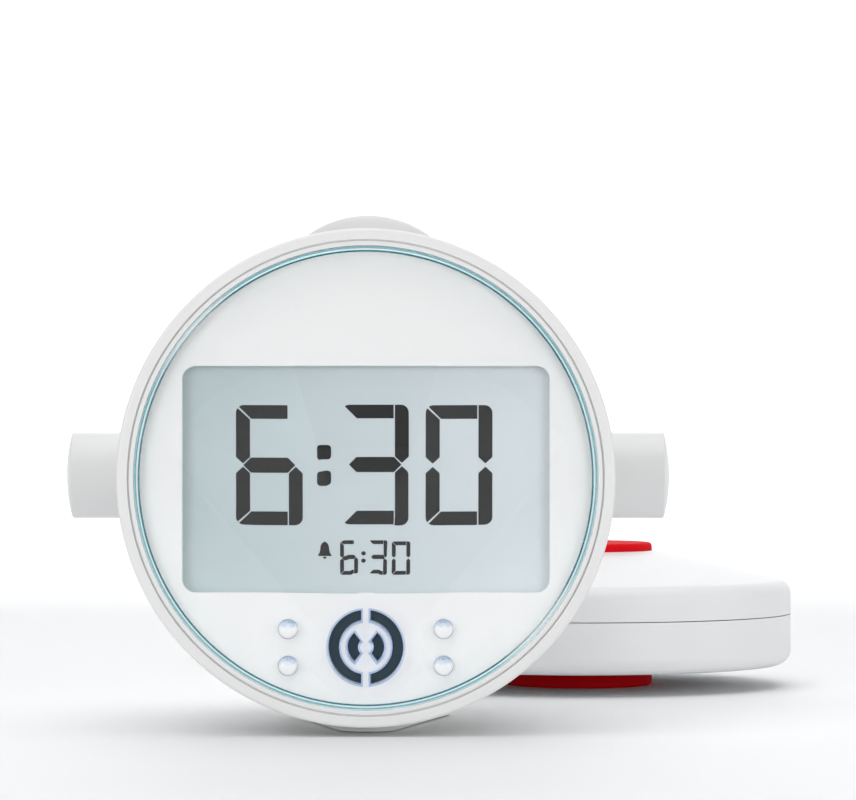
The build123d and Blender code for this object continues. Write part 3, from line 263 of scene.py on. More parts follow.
acrylic_tint = (0.995, 0.997, 0.998, 1)
# The slots' bevels and walls are tinted lavender-blue: a painted reflection on the clear acrylic's cut
# edges.
cut_painted_reflection = (0.30, 0.42, 0.76, 1)
for finish, tint in (("lens_clear", acrylic_tint), ("lens_rim", acrylic_tint), ("lens_cut_painted_reflection", cut_painted_reflection)):
    acrylic, tree, shader, place = start_finish(finish)
    shader.inputs["Base Color"].default_value = tint
    shader.inputs["Transmission Weight"].default_value = 1
    shader.inputs["IOR"].default_value = 1.49
    haze = tree.nodes.new("ShaderNodeTexNoise")
    haze.inputs["Scale"].default_value = 180
    haze.inputs["Detail"].default_value = 5
    polish = tree.nodes.new("ShaderNodeMapRange")
    polish.inputs["To Min"].default_value = 0.0
    polish.inputs["To Max"].default_value = 0.035
    tree.links.new(place.outputs["Object"], haze.inputs["Vector"])
    tree.links.new(haze.outputs["Fac"], polish.inputs["Value"])
    tree.links.new(polish.outputs["Result"], shader.inputs["Roughness"])
    let_light_through(tree, shader, (0.985, 0.995, 1.0, 1))
    lens_mesh.materials.append(acrylic)
# Painted light on the rounded rim: a ramp across it of dark teal painted shade lines and pale cyan painted
# reflections, partly the acrylic's own cyan edge tint, with a pale painted glint faded in round two opposite
# points.
glint_turn = radians(140)
glint_tint = (0.86, 0.98, 1.0, 1)
rim_shadow = (0.015, 0.14, 0.18, 1)
rim_edge_tint_and_painted_light = (0.35, 0.84, 0.94, 1)
rim_painted_bands = [(0.28, rim_shadow), (0.38, (0.80, 0.99, 1.0, 1)), (0.56, (0.92, 1.0, 1.0, 1))]
rim_painted_bands += [(0.64, (0.10, 0.40, 0.48, 1)), (0.82, (0.15, 0.52, 0.61, 1))]
tree = lens_mesh.materials["lens_rim"].node_tree
shader = tree.nodes["Principled BSDF"]
shader.inputs["Transmission Weight"].default_value = 0.45
place = tree.nodes.new("ShaderNodeTexCoord")
centred = tree.nodes.new("ShaderNodeVectorMath")
centred.operation = "SUBTRACT"
centred.inputs[1].default_value = (0, 0, dial_z)
flat = tree.nodes.new("ShaderNodeVectorMath")
flat.operation = "MULTIPLY"
flat.inputs[1].default_value = (1, 0, 1)
reach = tree.nodes.new("ShaderNodeVectorMath")
reach.operation = "LENGTH"
across = tree.nodes.new("ShaderNodeMapRange")
across.inputs["From Min"].default_value = lens_radius - lens_round
across.inputs["From Max"].default_value = lens_radius
rim_painted_light_ramp = tree.nodes.new("ShaderNodeValToRGB")
rim_painted_light_ramp.color_ramp.elements[0].color = rim_shadow
rim_painted_light_ramp.color_ramp.elements[1].color = rim_edge_tint_and_painted_light
for position, colour in rim_painted_bands:
    rim_painted_light_ramp.color_ramp.elements.new(position).color = colour
slant = tree.nodes.new("ShaderNodeVectorMath")
slant.operation = "DOT_PRODUCT"
slant.inputs[1].default_value = (cos(glint_turn) / lens_radius, 0, sin(glint_turn) / lens_radius)
either = tree.nodes.new("ShaderNodeMath")
either.operation = "ABSOLUTE"
fade = tree.nodes.new("ShaderNodeMapRange")
fade.inputs["From Min"].default_value = 0.955
fade.inputs["From Max"].default_value = 0.998
fade.inputs["To Max"].default_value = 0.8
blend = tree.nodes.new("ShaderNodeMix")
blend.data_type = "RGBA"
blend.inputs[7].default_value = glint_tint
tree.links.new(place.outputs["Object"], centred.inputs[0])
tree.links.new(centred.outputs["Vector"], flat.inputs[0])
tree.links.new(flat.outputs["Vector"], reach.inputs[0])
tree.links.new(reach.outputs["Value"], across.inputs["Value"])
tree.links.new(across.outputs["Result"], rim_painted_light_ramp.inputs["Fac"])
tree.links.new(flat.outputs["Vector"], slant.inputs[0])
tree.links.new(slant.outputs["Value"], either.inputs[0])
tree.links.new(either.outputs["Value"], fade.inputs["Value"])
tree.links.new(fade.outputs["Result"], blend.inputs[0])
tree.links.new(rim_painted_light_ramp.outputs["Color"], blend.inputs[6])
tree.links.new(blend.outputs[2], shader.inputs["Base Color"])
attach(lens_disc, "clock")
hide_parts("front_lens")

# Fascia: white printed mask behind the lens, its display window cut with a bevelled edge.
# Same slots and lamp holes as the lens; lies on the chassis.
window_half = (0.03605, 0.02225)
window_corner = 0.00265
window_break = 0.00012
window_z = (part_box("lcd_glass")[0].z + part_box("lcd_glass")[1].z) / 2 - dial_z
fascia_front = lens_back + glue_gap
mask_play = 0.00002
mask_radius = ledge_bore - mask_play
mask_steps = 180
mask_crease = 30
corner_signs = ((1, 1), (-1, 1), (-1, -1), (1, -1))
levels = [(window_break, fascia_front), (0.0, fascia_front + window_break), (0.0, fascia_back)]
bm = bmesh.new()
shelves = []
for grow, depth in levels:
    arc = [2 * pi * k / mask_steps for k in range(mask_steps)]
    rings = [[(mask_radius * cos(t), mask_radius * sin(t)) for t in arc]]
    ring = []
    for corner, (a, b) in enumerate(corner_signs):
        for k in range(quarter_steps + 1):
            turn = pi / 2 * (corner + k / quarter_steps)
            x = a * (window_half[0] - window_corner) + (window_corner + grow) * cos(turn)
            z = window_z + b * (window_half[1] - window_corner) + (window_corner + grow) * sin(turn)
            ring.append((x, z))
    rings.append(ring)
    rings += hole_rings[2][1]
    shelves.append([draw_ring(bm, ring, depth) for ring in rings])
for near, far in zip(shelves, shelves[1:]):
    for ring, deeper in zip(near, far):
        bmesh.ops.bridge_loops(bm, edges=ring + deeper)
for rings in (shelves[0], shelves[-1]):
    bmesh.ops.triangle_fill(bm, use_beauty=True, edges=sum(rings, []))
fascia_mask = make_piece("fascia_mask", bm, mask_crease)
fascia_white, tree, shader, place = start_finish("fascia_white")
shader.inputs["Roughness"].default_value = 0.4
print_noise = tree.nodes.new("ShaderNodeTexNoise")
print_noise.inputs["Scale"].default_value = 900
ink = tree.nodes.new("ShaderNodeValToRGB")
ink.color_ramp.elements[0].color = (0.845, 0.845, 0.843, 1)
ink.color_ramp.elements[1].color = (0.862, 0.862, 0.860, 1)
tree.links.new(place.outputs["Object"], print_noise.inputs["Vector"])
tree.links.new(print_noise.outputs["Fac"], ink.inputs["Fac"])
tree.links.new(ink.outputs["Color"], shader.inputs["Base Color"])
fascia_mask.data.materials.append(fascia_white)
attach(fascia_mask, "clock")
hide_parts("fascia")

# Display glass: grey-green twisted-nematic panel, paler towards the right.
# Lies in the chassis pocket behind the window.
panel_half = 0.036


def dress_nodes(finish, *names):
    """Give pieces that keep their CAD shape their finish."""
    for name in names:
        nodes[name].data.materials.clear()
        nodes[name].data.materials.append(finish)


display_glass, tree, shader, place = start_finish("display_glass")
shader.inputs["Roughness"].default_value = 0.32
axes = tree.nodes.new("ShaderNodeSeparateXYZ")
across = tree.nodes.new("ShaderNodeMapRange")
across.inputs["From Min"].default_value = -panel_half
across.inputs["From Max"].default_value = panel_half
fade = tree.nodes.new("ShaderNodeValToRGB")
fade.color_ramp.elements[0].color = (0.475, 0.565, 0.580, 1)
fade.color_ramp.elements[1].color = (0.665, 0.720, 0.755, 1)
grain = tree.nodes.new("ShaderNodeTexNoise")
grain.inputs["Scale"].default_value = 1500
grain.inputs["Detail"].default_value = 3
bump = tree.nodes.new("ShaderNodeBump")
bump.inputs["Strength"].default_value = 0.03
bump.inputs["Distance"].default_value = 0.00003
tree.links.new(place.outputs["Object"], axes.inputs["Vector"])
tree.links.new(axes.outputs["X"], across.inputs["Value"])
tree.links.new(across.outputs["Result"], fade.inputs["Fac"])
tree.links.new(fade.outputs["Color"], shader.inputs["Base Color"])
tree.links.new(place.outputs["Object"], grain.inputs["Vector"])
tree.links.new(grain.outputs["Fac"], bump.inputs["Height"])
tree.links.new(bump.outputs["Normal"], shader.inputs["Normal"])
dress_nodes(display_glass, "lcd_glass")

# Display segments: the lit time in large figures, the alarm time below it in small ones, with a bell sign.
# Dark liquid-crystal shapes on the front of the glass, each with thin gaps to the next.
# A figure is drawn on a grid 67 units wide and 120 high, from its top left corner.
segment_gap = 0.00001
segment_thick = 0.00003
lcd_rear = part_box("lcd_glass")[0].y - segment_gap
lcd_face = lcd_rear - segment_thick
unit = 0.0001960
figure_wide = 67
figure_high = 120
figure_round = 8
corner = []
for t in (0, 8, 16, 24, 32, 38):
    corner.append((figure_round * (1 - cos(radians(t))), figure_round * (1 - sin(radians(t)))))
crown = []
for t in (52, 58, 66, 74, 82, 90):
    crown.append((figure_round * (1 - cos(radians(t))), figure_round * (1 - sin(radians(t)))))
shoulder = []
for t in range(0, 91, 10):
    x = figure_wide - figure_round * (1 - sin(radians(t)))
    shoulder.append((x, figure_round * (1 - cos(radians(t)))))
segment_shapes = {}
segment_shapes["a"] = crown + [(51.8, 0), (51.8, 13.7), (15.3, 13.7)]
segment_shapes["f"] = corner + [(14.1, 14.3), (14.1, 52.0), (7.1, 58.4), (0, 52.0)]
segment_shapes["b"] = [(53.0, 0)] + shoulder + [(figure_wide, 52.0), (60.0, 58.4), (53.0, 52.0)]
segment_shapes["g"] = [(7.3, 60.0), (14.9, 52.4), (52.0, 52.4), (59.6, 60.0), (52.0, 67.6), (14.9, 67.6)]
for upper, lower in (("a", "d"), ("f", "e"), ("b", "c")):
    segment_shapes[lower] = [(x, figure_high - y) for x, y in segment_shapes[upper]]
time_top = 0.065174
alarm_top = 0.038525
alarm_scale = 0.2775
figures = [(-0.025617, time_top, 1.0, "acdefg"), (-0.004759, time_top, 1.0, "abcdg")]
figures.append((0.011747, time_top, 1.0, "abcdef"))
figures += [(-0.005153, alarm_top, alarm_scale, "acdefg"), (0.000501, alarm_top, alarm_scale, "abcdg")]
figures.append((0.005110, alarm_top, alarm_scale, "abcdef"))
outlines = []
for left, top, scale, lit in figures:
    for name in lit:
        outlines.append([(left + x * scale * unit, top - y * scale * unit) for x, y in segment_shapes[name]])
colon_x = -0.008244
colon_half = 0.001418
colon_round = 0.0007
colon_steps = 6
for colon_z in (0.055837, 0.050804):
    ring = []
    for quarter, (a, b) in enumerate(corner_signs):
        for k in range(colon_steps + 1):
            turn = pi / 2 * (quarter + k / colon_steps)
            x = colon_x + a * (colon_half - colon_round) + colon_round * cos(turn)
            ring.append((x, colon_z + b * (colon_half - colon_round) + colon_round * sin(turn)))
    outlines.append(ring)
dot_x = -0.000465
dot_radius = 0.00042
dot_steps = 16
for dot_z in (0.035965, 0.034527):
    arc = [2 * pi * k / dot_steps for k in range(dot_steps)]
    outlines.append([(dot_x + dot_radius * cos(t), dot_z + dot_radius * sin(t)) for t in arc])
bell_x = -0.008186
bell_half = [(0, 0), (1.4, 0.9), (3.0, 2.2), (4.1, 4.4), (4.5, 8.6), (5.2, 11.4), (6.8, 13.6), (6.8, 14.6)]
bell_half.append((0, 14.6))
ring = [(bell_x + x * unit, alarm_top - y * unit) for x, y in bell_half]
ring += [(bell_x - x * unit, alarm_top - y * unit) for x, y in reversed(bell_half[1:-1])]
outlines.append(ring)
clapper = (1.9, 2.1)
clapper_drop = 15.4
clapper_steps = 8
ring = []
for k in range(clapper_steps + 1):
    turn = pi * k / clapper_steps
    drop = clapper_drop + clapper[1] * sin(turn)
    ring.append((bell_x + clapper[0] * unit * cos(turn), alarm_top - drop * unit))
outlines.append(ring)
bm = bmesh.new()
for ring in outlines:
    face = bm.faces.new([bm.verts.new((x, lcd_face, z)) for x, z in ring])
    grown = bmesh.ops.extrude_face_region(bm, geom=[face])["geom"]
    back = [item for item in grown if isinstance(item, bmesh.types.BMVert)]
    bmesh.ops.translate(bm, verts=back, vec=(0, lcd_rear - lcd_face, 0))
lcd_segments = make_piece("lcd_segments", bm, 0)
segment_dark, tree, shader, place = start_finish("segment_dark")
shader.inputs["Roughness"].default_value = 0.4
shader.inputs["Specular IOR Level"].default_value = 0.15
cloud = tree.nodes.new("ShaderNodeTexNoise")
cloud.inputs["Scale"].default_value = 260
tone = tree.nodes.new("ShaderNodeValToRGB")
tone.color_ramp.elements[0].color = (0.004, 0.0045, 0.005, 1)
tone.color_ramp.elements[1].color = (0.007, 0.0075, 0.008, 1)
tree.links.new(place.outputs["Object"], cloud.inputs["Vector"])
tree.links.new(cloud.outputs["Fac"], tone.inputs["Fac"])
tree.links.new(tone.outputs["Color"], shader.inputs["Base Color"])
lcd_segments.data.materials.append(segment_dark)
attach(lcd_segments, "clock")

# Flash lamps: four clear epoxy domes that stand out of the lens, each with a reflector cup inside.
# Soldered to the main board; the domes pass through the lens with a hair of play.
lamp_radius = 0.0019
lamp_cap = 0.0010
lamp_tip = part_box("flash_leds")[0].y - face_y
lamp_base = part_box("flash_leds")[1].y - face_y
lamp_flange = 0.00235
flange_thick = 0.001
flange_front = lamp_base - flange_thick
dome_steps = 16
dome_facets = 64
dome_crease = 40
dome = []
for step in range(dome_steps + 1):
    turn = pi / 2 * step / dome_steps
    dome.append((lamp_tip + lamp_cap - lamp_cap * cos(turn), lamp_radius * sin(turn)))
dome += [(flange_front, lamp_radius), (flange_front, lamp_flange)]
dome += [(lamp_base, lamp_flange), (lamp_base, 0.0)]
cup_floor = 0.0029
cup_lip = 0.0022
cup_back = 0.0080
cup_radius = 0.00175
cup_flat = 0.0006
cup_mouth = 0.0014
cup_facets = 13
cup_shade_from = 0.0006
cup = [(cup_floor, 0.0), (cup_floor, cup_flat), (cup_lip, cup_mouth), (cup_lip, cup_radius)]
cup += [(cup_back, cup_radius), (cup_back, 0.0)]
bm_dome = bmesh.new()
bm_cup = bmesh.new()
for x, z in lamp_places:
    for bm, outline, steps in ((bm_dome, dome, dome_facets), (bm_cup, cup, cup_facets)):
        points = [(x + radius, face_y + depth, dial_z + z) for depth, radius in outline]
        turn_profile(bm, points, (x, face_y, dial_z + z), (0, 1, 0), steps)
# The cups' upper facets get the blue-grey cup_shade finish: painted shade.
for face in bm_cup.faces:
    middle = face.calc_center_median()
    rise = max(middle.z - dial_z - z for x, z in lamp_places if abs(middle.z - dial_z - z) < lamp_flange)
    face.material_index = 1 if rise > cup_shade_from else 0
lamp_domes = make_piece("lamp_domes", bm_dome, dome_crease)
lamp_cups = make_piece("lamp_cups", bm_cup, 0)
# The domes' colour holds painted shade and reflection: blue-grey facets over the upper part of each lamp and
# a thin grey band at its lower edge, set by height within each lamp, with milk white between.
milk = (0.985, 0.99, 1.0, 1)
lamp_painted_facet_shade = [(0.09, milk), (0.68, milk), (0.80, (0.74, 0.83, 0.94, 1)), (0.95, (0.62, 0.73, 0.87, 1))]
lamp_clear, tree, shader, place = start_finish("lamp_clear")
shader.inputs["Transmission Weight"].default_value = 0.15
shader.inputs["IOR"].default_value = 1.4
split = tree.nodes.new("ShaderNodeSeparateXYZ")
above = tree.nodes.new("ShaderNodeMath")
above.operation = "SUBTRACT"
above.inputs[1].default_value = dial_z + sounder_z - 2 * lamp_rise
height = tree.nodes.new("ShaderNodeMath")
height.operation = "MODULO"
height.inputs[1].default_value = 2 * lamp_rise
share = tree.nodes.new("ShaderNodeMapRange")
share.inputs["From Min"].default_value = lamp_rise - lamp_radius
share.inputs["From Max"].default_value = lamp_rise + lamp_radius
facets = tree.nodes.new("ShaderNodeTexVoronoi")
facets.inputs["Scale"].default_value = 1900
shift = tree.nodes.new("ShaderNodeMath")
shift.operation = "MULTIPLY_ADD"
shift.inputs[1].default_value = 0.22
shade = tree.nodes.new("ShaderNodeValToRGB")
shade.color_ramp.elements[0].color = (0.55, 0.62, 0.72, 1)
shade.color_ramp.elements[1].color = (0.44, 0.56, 0.70, 1)
for position, colour in lamp_painted_facet_shade:
    shade.color_ramp.elements.new(position).color = colour
tree.links.new(place.outputs["Object"], split.inputs["Vector"])
tree.links.new(split.outputs["Z"], above.inputs[0])
tree.links.new(above.outputs["Value"], height.inputs[0])
tree.links.new(height.outputs["Value"], share.inputs["Value"])
tree.links.new(place.outputs["Object"], facets.inputs["Vector"])
tree.links.new(facets.outputs["Distance"], shift.inputs[0])
tree.links.new(share.outputs["Result"], shift.inputs[2])
tree.links.new(shift.outputs["Value"], shade.inputs["Fac"])
tree.links.new(shade.outputs["Color"], shader.inputs["Base Color"])
flow = tree.nodes.new("ShaderNodeTexNoise")
flow.inputs["Scale"].default_value = 700
polish = tree.nodes.new("ShaderNodeMapRange")
polish.inputs["To Min"].default_value = 0.0
polish.inputs["To Max"].default_value = 0.06
tree.links.new(place.outputs["Object"], flow.inputs["Vector"])
tree.links.new(flow.outputs["Fac"], polish.inputs["Value"])
tree.links.new(polish.outputs["Result"], shader.inputs["Roughness"])
let_light_through(tree, shader, (0.93, 0.96, 0.98, 1))
lamp_domes.data.materials.append(lamp_clear)
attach(lamp_domes, "clock")
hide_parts("flash_leds")
for finish, tint in (("cup_white", (0.95, 0.96, 0.97, 1)), ("cup_shade", (0.16, 0.28, 0.48, 1))):
    lamp_cups.data.materials.append(grained_finish(finish, tint, 2400, 0.2, 0.4))
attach(lamp_cups, "clock")

# Sounder: dark cloth behind the slots, over a steel basket with a pressed paper cone and a magnet.
# Glued into the chassis from behind.
cloth_dark, tree, shader, place = start_finish("cloth_dark")
shader.inputs["Roughness"].default_value = 0.7
warp = tree.nodes.new("ShaderNodeTexWave")
warp.inputs["Scale"].default_value = 900
weft = tree.nodes.new("ShaderNodeTexWave")
weft.bands_direction = "Z"
weft.inputs["Scale"].default_value = 900
weave = tree.nodes.new("ShaderNodeMath")
weave.operation = "MULTIPLY"
thread = tree.nodes.new("ShaderNodeValToRGB")
thread.color_ramp.elements[0].color = (0.026, 0.050, 0.062, 1)
thread.color_ramp.elements[1].color = (0.075, 0.122, 0.142, 1)
tree.links.new(place.outputs["Object"], warp.inputs["Vector"])
tree.links.new(place.outputs["Object"], weft.inputs["Vector"])
tree.links.new(warp.outputs["Fac"], weave.inputs[0])
tree.links.new(weft.outputs["Fac"], weave.inputs[1])
tree.links.new(weave.outputs["Value"], thread.inputs["Fac"])
tree.links.new(thread.outputs["Color"], shader.inputs["Base Color"])
dress_nodes(cloth_dark, "sounder_mesh")
cone_paper, tree, shader, place = start_finish("cone_paper")
shader.inputs["Roughness"].default_value = 0.85
fibre = tree.nodes.new("ShaderNodeTexNoise")
fibre.inputs["Scale"].default_value = 1800
fibre.inputs["Detail"].default_value = 6
pulp = tree.nodes.new("ShaderNodeValToRGB")
pulp.color_ramp.elements[0].color = (0.008, 0.008, 0.009, 1)
pulp.color_ramp.elements[1].color = (0.022, 0.022, 0.024, 1)
tree.links.new(place.outputs["Object"], fibre.inputs["Vector"])
tree.links.new(fibre.outputs["Fac"], pulp.inputs["Fac"])
tree.links.new(pulp.outputs["Color"], shader.inputs["Base Color"])
dress_nodes(cone_paper, "speaker_cone")

# Chassis and light guide: plain white moulding and a clear-white acrylic slab behind the display.
# Rubber strips of dark and clear layers join the display to the board.
chassis_white = grained_finish("chassis_white", (0.74, 0.75, 0.74, 1), 1200, 0.45, 0.6)
dress_nodes(chassis_white, "lcd_chassis", "lcd_backlight")
contact_rubber, tree, shader, place = start_finish("contact_rubber")
shader.inputs["Roughness"].default_value = 0.75
layers = tree.nodes.new("ShaderNodeTexWave")
layers.inputs["Scale"].default_value = 1500
stripe = tree.nodes.new("ShaderNodeValToRGB")
stripe.color_ramp.elements[0].color = (0.01, 0.01, 0.011, 1)
stripe.color_ramp.elements[1].color = (0.22, 0.20, 0.19, 1)
tree.links.new(place.outputs["Object"], layers.inputs["Vector"])
tree.links.new(layers.outputs["Fac"], stripe.inputs["Fac"])
tree.links.new(stripe.outputs["Color"], shader.inputs["Base Color"])
dress_nodes(contact_rubber, "lcd_connectors")

# Circuit boards: glass-fibre laminate under green solder mask, with the copper showing faintly through it.
# Screwed to the chassis, the snooze collar and the socket posts.
board_green, tree, shader, place = start_finish("board_green")
shader.inputs["Roughness"].default_value = 0.35
copper = tree.nodes.new("ShaderNodeTexBrick")
copper.inputs["Scale"].default_value = 160
copper.inputs["Color1"].default_value = (0.012, 0.085, 0.030, 1)
copper.inputs["Color2"].default_value = (0.018, 0.110, 0.040, 1)
copper.inputs["Mortar"].default_value = (0.030, 0.150, 0.060, 1)
tree.links.new(place.outputs["Object"], copper.inputs["Vector"])
tree.links.new(copper.outputs["Color"], shader.inputs["Base Color"])
dress_nodes(board_green, "main_board", "snooze_board", "connector_board")

# Chip, crystal, sockets, snooze switch and its plunger: black moulded plastic, slightly shiny.
# Soldered to the boards.
chip_black = grained_finish("chip_black", (0.012, 0.012, 0.013, 1), 1600, 0.3, 0.5)
dress_nodes(chip_black, "board_parts", "power_jack", "shaker_jack", "snooze_switch", "snooze_plunger")

# Steel pieces: zinc-plated screws and nuts, encoder cans, contacts, motor and clamp, basket and magnet.
# Pressed or turned, with slightly streaked plating; the screws hold boards, housing, clamp and shells.
steel = grained_finish("steel", (0.55, 0.56, 0.57, 1), 800, 0.25, 0.45, detail=6, metal=1)
dress_nodes(steel, "board_screws", "housing_screws", "snooze_board_screws", "connector_screws")
dress_nodes(steel, "motor_clamp_screws", "shaker_screws", "alarm_encoder", "time_encoder", "encoder_nuts")
dress_nodes(steel, "speaker_basket", "speaker_magnet", "battery_contacts")
dress_nodes(steel, "shaker_motor", "motor_shaft", "motor_clamp")

# Rear housing, battery door and socket panel: white ABS with a rounded back, in the bezel's satin texture.
# The door is cut from the same skin and clips into its opening.
housing_tint = (0.79, 0.79, 0.78, 1)
housing_skin = {"detail": 4, "relief": 0.08, "depth": 0.00005}
housing_white = grained_finish("housing_white", housing_tint, 2200, 0.36, 0.5, **housing_skin)
dress_nodes(housing_white, "rear_housing", "battery_door", "socket_panel")

# Sole: one grey rubber pad stuck into the foot's recess.
# Matt with a fine grain so the clock doesn't slide.
sole_rubber, tree, shader, place = start_finish("sole_rubber")
shader.inputs["Base Color"].default_value = (0.33, 0.34, 0.35, 1)
shader.inputs["Roughness"].default_value = 0.8
pimple = tree.nodes.new("ShaderNodeTexVoronoi")
pimple.inputs["Scale"].default_value = 900
bump = tree.nodes.new("ShaderNodeBump")
bump.inputs["Strength"].default_value = 0.3
bump.inputs["Distance"].default_value = 0.0001
tree.links.new(place.outputs["Object"], pimple.inputs["Vector"])
tree.links.new(pimple.outputs["Distance"], bump.inputs["Height"])
tree.links.new(bump.outputs["Normal"], shader.inputs["Normal"])
dress_nodes(sole_rubber, "foot_pad")

# Snooze button: large white dome that rises out of the barrel's top, smoother than the housing.
# Pressed down against the switch under it; a rim inside keeps it in.
snooze_setback = 0.034
snooze_y = face_y + snooze_setback
snooze_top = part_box("snooze_button")[1].z
snooze_dome = 0.0212
snooze_radius = 0.0145
snooze_edge = 0.0008
edge_in = 0.35
edge_up = 0.1
edge_down = 0.7
snooze_steps = 40
snooze_facets = 160
snooze_crease = 40
snooze_middle = snooze_top - snooze_dome
snooze_shoulder = snooze_middle + sqrt(snooze_dome ** 2 - snooze_radius ** 2)
rim_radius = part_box("snooze_button")[1].x
rim_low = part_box("snooze_button")[0].z
rim_thick = 0.0015
rim_high = rim_low + rim_thick
cap_wall = 0.0018
cap_bore = snooze_radius - cap_wall
cap_thick = 0.0022
cap_ceiling = snooze_top - cap_thick
cap_hollow = 0.005
cap_spring = cap_ceiling - cap_hollow
outline = []
for step in range(snooze_steps + 1):
    turn = asin((snooze_radius - snooze_edge) / snooze_dome) * step / snooze_steps
    outline.append((snooze_dome * sin(turn), snooze_middle + snooze_dome * cos(turn)))
outline.append((snooze_radius - edge_in * snooze_edge, snooze_shoulder + edge_up * snooze_edge))
outline.append((snooze_radius, snooze_shoulder - edge_down * snooze_edge))
outline += [(snooze_radius, rim_high), (rim_radius, rim_high), (rim_radius, rim_low), (cap_bore, rim_low)]
outline += [(cap_bore, cap_spring), (0.0, cap_ceiling)]
bm = bmesh.new()
points = [(radius, snooze_y, z) for radius, z in outline]
turn_profile(bm, points, (0, snooze_y, 0), (0, 0, 1), snooze_facets)
snooze_cap = make_piece("snooze_cap", bm, snooze_crease)
# The button's white is greyer than the housing's: white ABS darkened with painted shade, for the shade it
# sits in beside the bezel.
button_white = grained_finish("button_white", (0.62, 0.62, 0.615, 1), 1700, 0.38, 0.48)
snooze_cap.data.materials.append(button_white)
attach(snooze_cap, "snooze")
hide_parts("snooze_button")

# Side knobs: white turned-looking caps with a slightly crowned end, pushed on the encoder shafts.
# Satin, with a soft edge round the crown and at the mouth.
low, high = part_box("time_knob")
knob_y = (low.y + high.y) / 2
knob_start = low.x
knob_end = high.x
knob_radius = (high.y - low.y) / 2
knob_crown = 0.00115
knob_edge = 0.0005
knob_wall = 0.0016
knob_bore = knob_radius - knob_wall
knob_thick = 0.0044
knob_floor = knob_end - knob_thick
knob_facets = 128
knob_crease = 40
mouth_steps = 8
edge_steps = 10
edge_turn = radians(82)
edge_lap = 0.0001
crown_steps = 24
crown_radius = (knob_radius ** 2 + knob_crown ** 2) / (2 * knob_crown)
outline = [(knob_floor, 0.0), (knob_floor, knob_bore), (knob_start, knob_bore)]
outline.append((knob_start, knob_radius - knob_edge))
for step in range(mouth_steps + 1):
    turn = pi / 2 * step / mouth_steps
    outline.append((knob_start + knob_edge * (1 - cos(turn)), knob_radius - knob_edge * (1 - sin(turn))))
for step in range(edge_steps + 1):
    turn = edge_turn * step / edge_steps
    x = knob_end - knob_crown - knob_edge + edge_lap + knob_edge * sin(turn)
    outline.append((x, knob_radius - knob_edge * (1 - cos(turn))))
for step in range(1, crown_steps + 1):
    radius = (knob_radius - knob_edge) * (1 - step / crown_steps)
    outline.append((knob_end - crown_radius + sqrt(crown_radius ** 2 - radius ** 2), radius))
knob_white = grained_finish("knob_white", (0.76, 0.765, 0.765, 1), 1900, 0.30, 0.40)
for side, name, body in ((-1, "alarm_knob", "alarm_control"), (1, "time_knob", "time_control")):
    bm = bmesh.new()
    points = [(side * x, knob_y, dial_z + radius) for x, radius in outline]
    turn_profile(bm, points, (0, knob_y, dial_z), (1, 0, 0), knob_facets)
    cap = make_piece(name + "_cap", bm, knob_crease)
    cap.data.materials.append(knob_white)
    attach(cap, body)
    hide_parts(name)

# Knob shafts: turned aluminium with a flat, inside the knobs.
# Fine turning marks round the axis.
shaft_aluminium, tree, shader, place = start_finish("shaft_aluminium")
shader.inputs["Base Color"].default_value = (0.72, 0.73, 0.74, 1)
shader.inputs["Metallic"].default_value = 1
marks = tree.nodes.new("ShaderNodeTexWave")
marks.inputs["Scale"].default_value = 1200
marks.inputs["Distortion"].default_value = 2
rough = tree.nodes.new("ShaderNodeMapRange")
rough.inputs["To Min"].default_value = 0.22
rough.inputs["To Max"].default_value = 0.4
tree.links.new(place.outputs["Object"], marks.inputs["Vector"])
tree.links.new(marks.outputs["Fac"], rough.inputs["Value"])
tree.links.new(rough.outputs["Result"], shader.inputs["Roughness"])
dress_nodes(shaft_aluminium, "alarm_shaft", "time_shaft")

# Backup cells: steel cans in a dark printed sleeve with a copper-coloured band.
# Laid in the bay between the sprung contacts.
cell_half = 0.0221
cell_sleeve, tree, shader, place = start_finish("cell_sleeve")
shader.inputs["Roughness"].default_value = 0.3
axes = tree.nodes.new("ShaderNodeSeparateXYZ")
along = tree.nodes.new("ShaderNodeMapRange")
along.inputs["From Min"].default_value = -cell_half
along.inputs["From Max"].default_value = cell_half
sleeve = tree.nodes.new("ShaderNodeValToRGB")
sleeve.color_ramp.interpolation = "CONSTANT"
sleeve.color_ramp.elements[0].color = (0.30, 0.31, 0.32, 1)
sleeve.color_ramp.elements[1].color = (0.50, 0.35, 0.16, 1)
sleeve.color_ramp.elements[1].position = 0.74
band = sleeve.color_ramp.elements.new(0.03)
band.color = (0.020, 0.022, 0.026, 1)
tip = sleeve.color_ramp.elements.new(0.975)
tip.color = (0.55, 0.56, 0.57, 1)
tree.links.new(place.outputs["Object"], axes.inputs["Vector"])
tree.links.new(axes.outputs["X"], along.inputs["Value"])
tree.links.new(along.outputs["Result"], sleeve.inputs["Fac"])
tree.links.new(sleeve.outputs["Color"], shader.inputs["Base Color"])
dress_nodes(cell_sleeve, "backup_cells")

# Brass: the power socket's pin and the shaker's eccentric weight.
# Turned and slightly dulled.
pin_brass = grained_finish("pin_brass", (0.60, 0.42, 0.16, 1), 600, 0.22, 0.42, metal=1)
dress_nodes(pin_brass, "power_jack_pin", "eccentric_weight")

# Shaker shells: white satin ABS halves with a shadow gap at the seam, screwed together from below.
# The top slopes gently from the pad's seat to a rounded rim.
shaker_tint = (0.82, 0.83, 0.84, 1)
shaker_skin = {"detail": 4, "relief": 0.06, "depth": 0.00005}
shaker_white = grained_finish("shaker_white", shaker_tint, 2400, 0.34, 0.46, **shaker_skin)
dress_nodes(shaker_white, "shaker_upper_shell", "shaker_lower_shell")

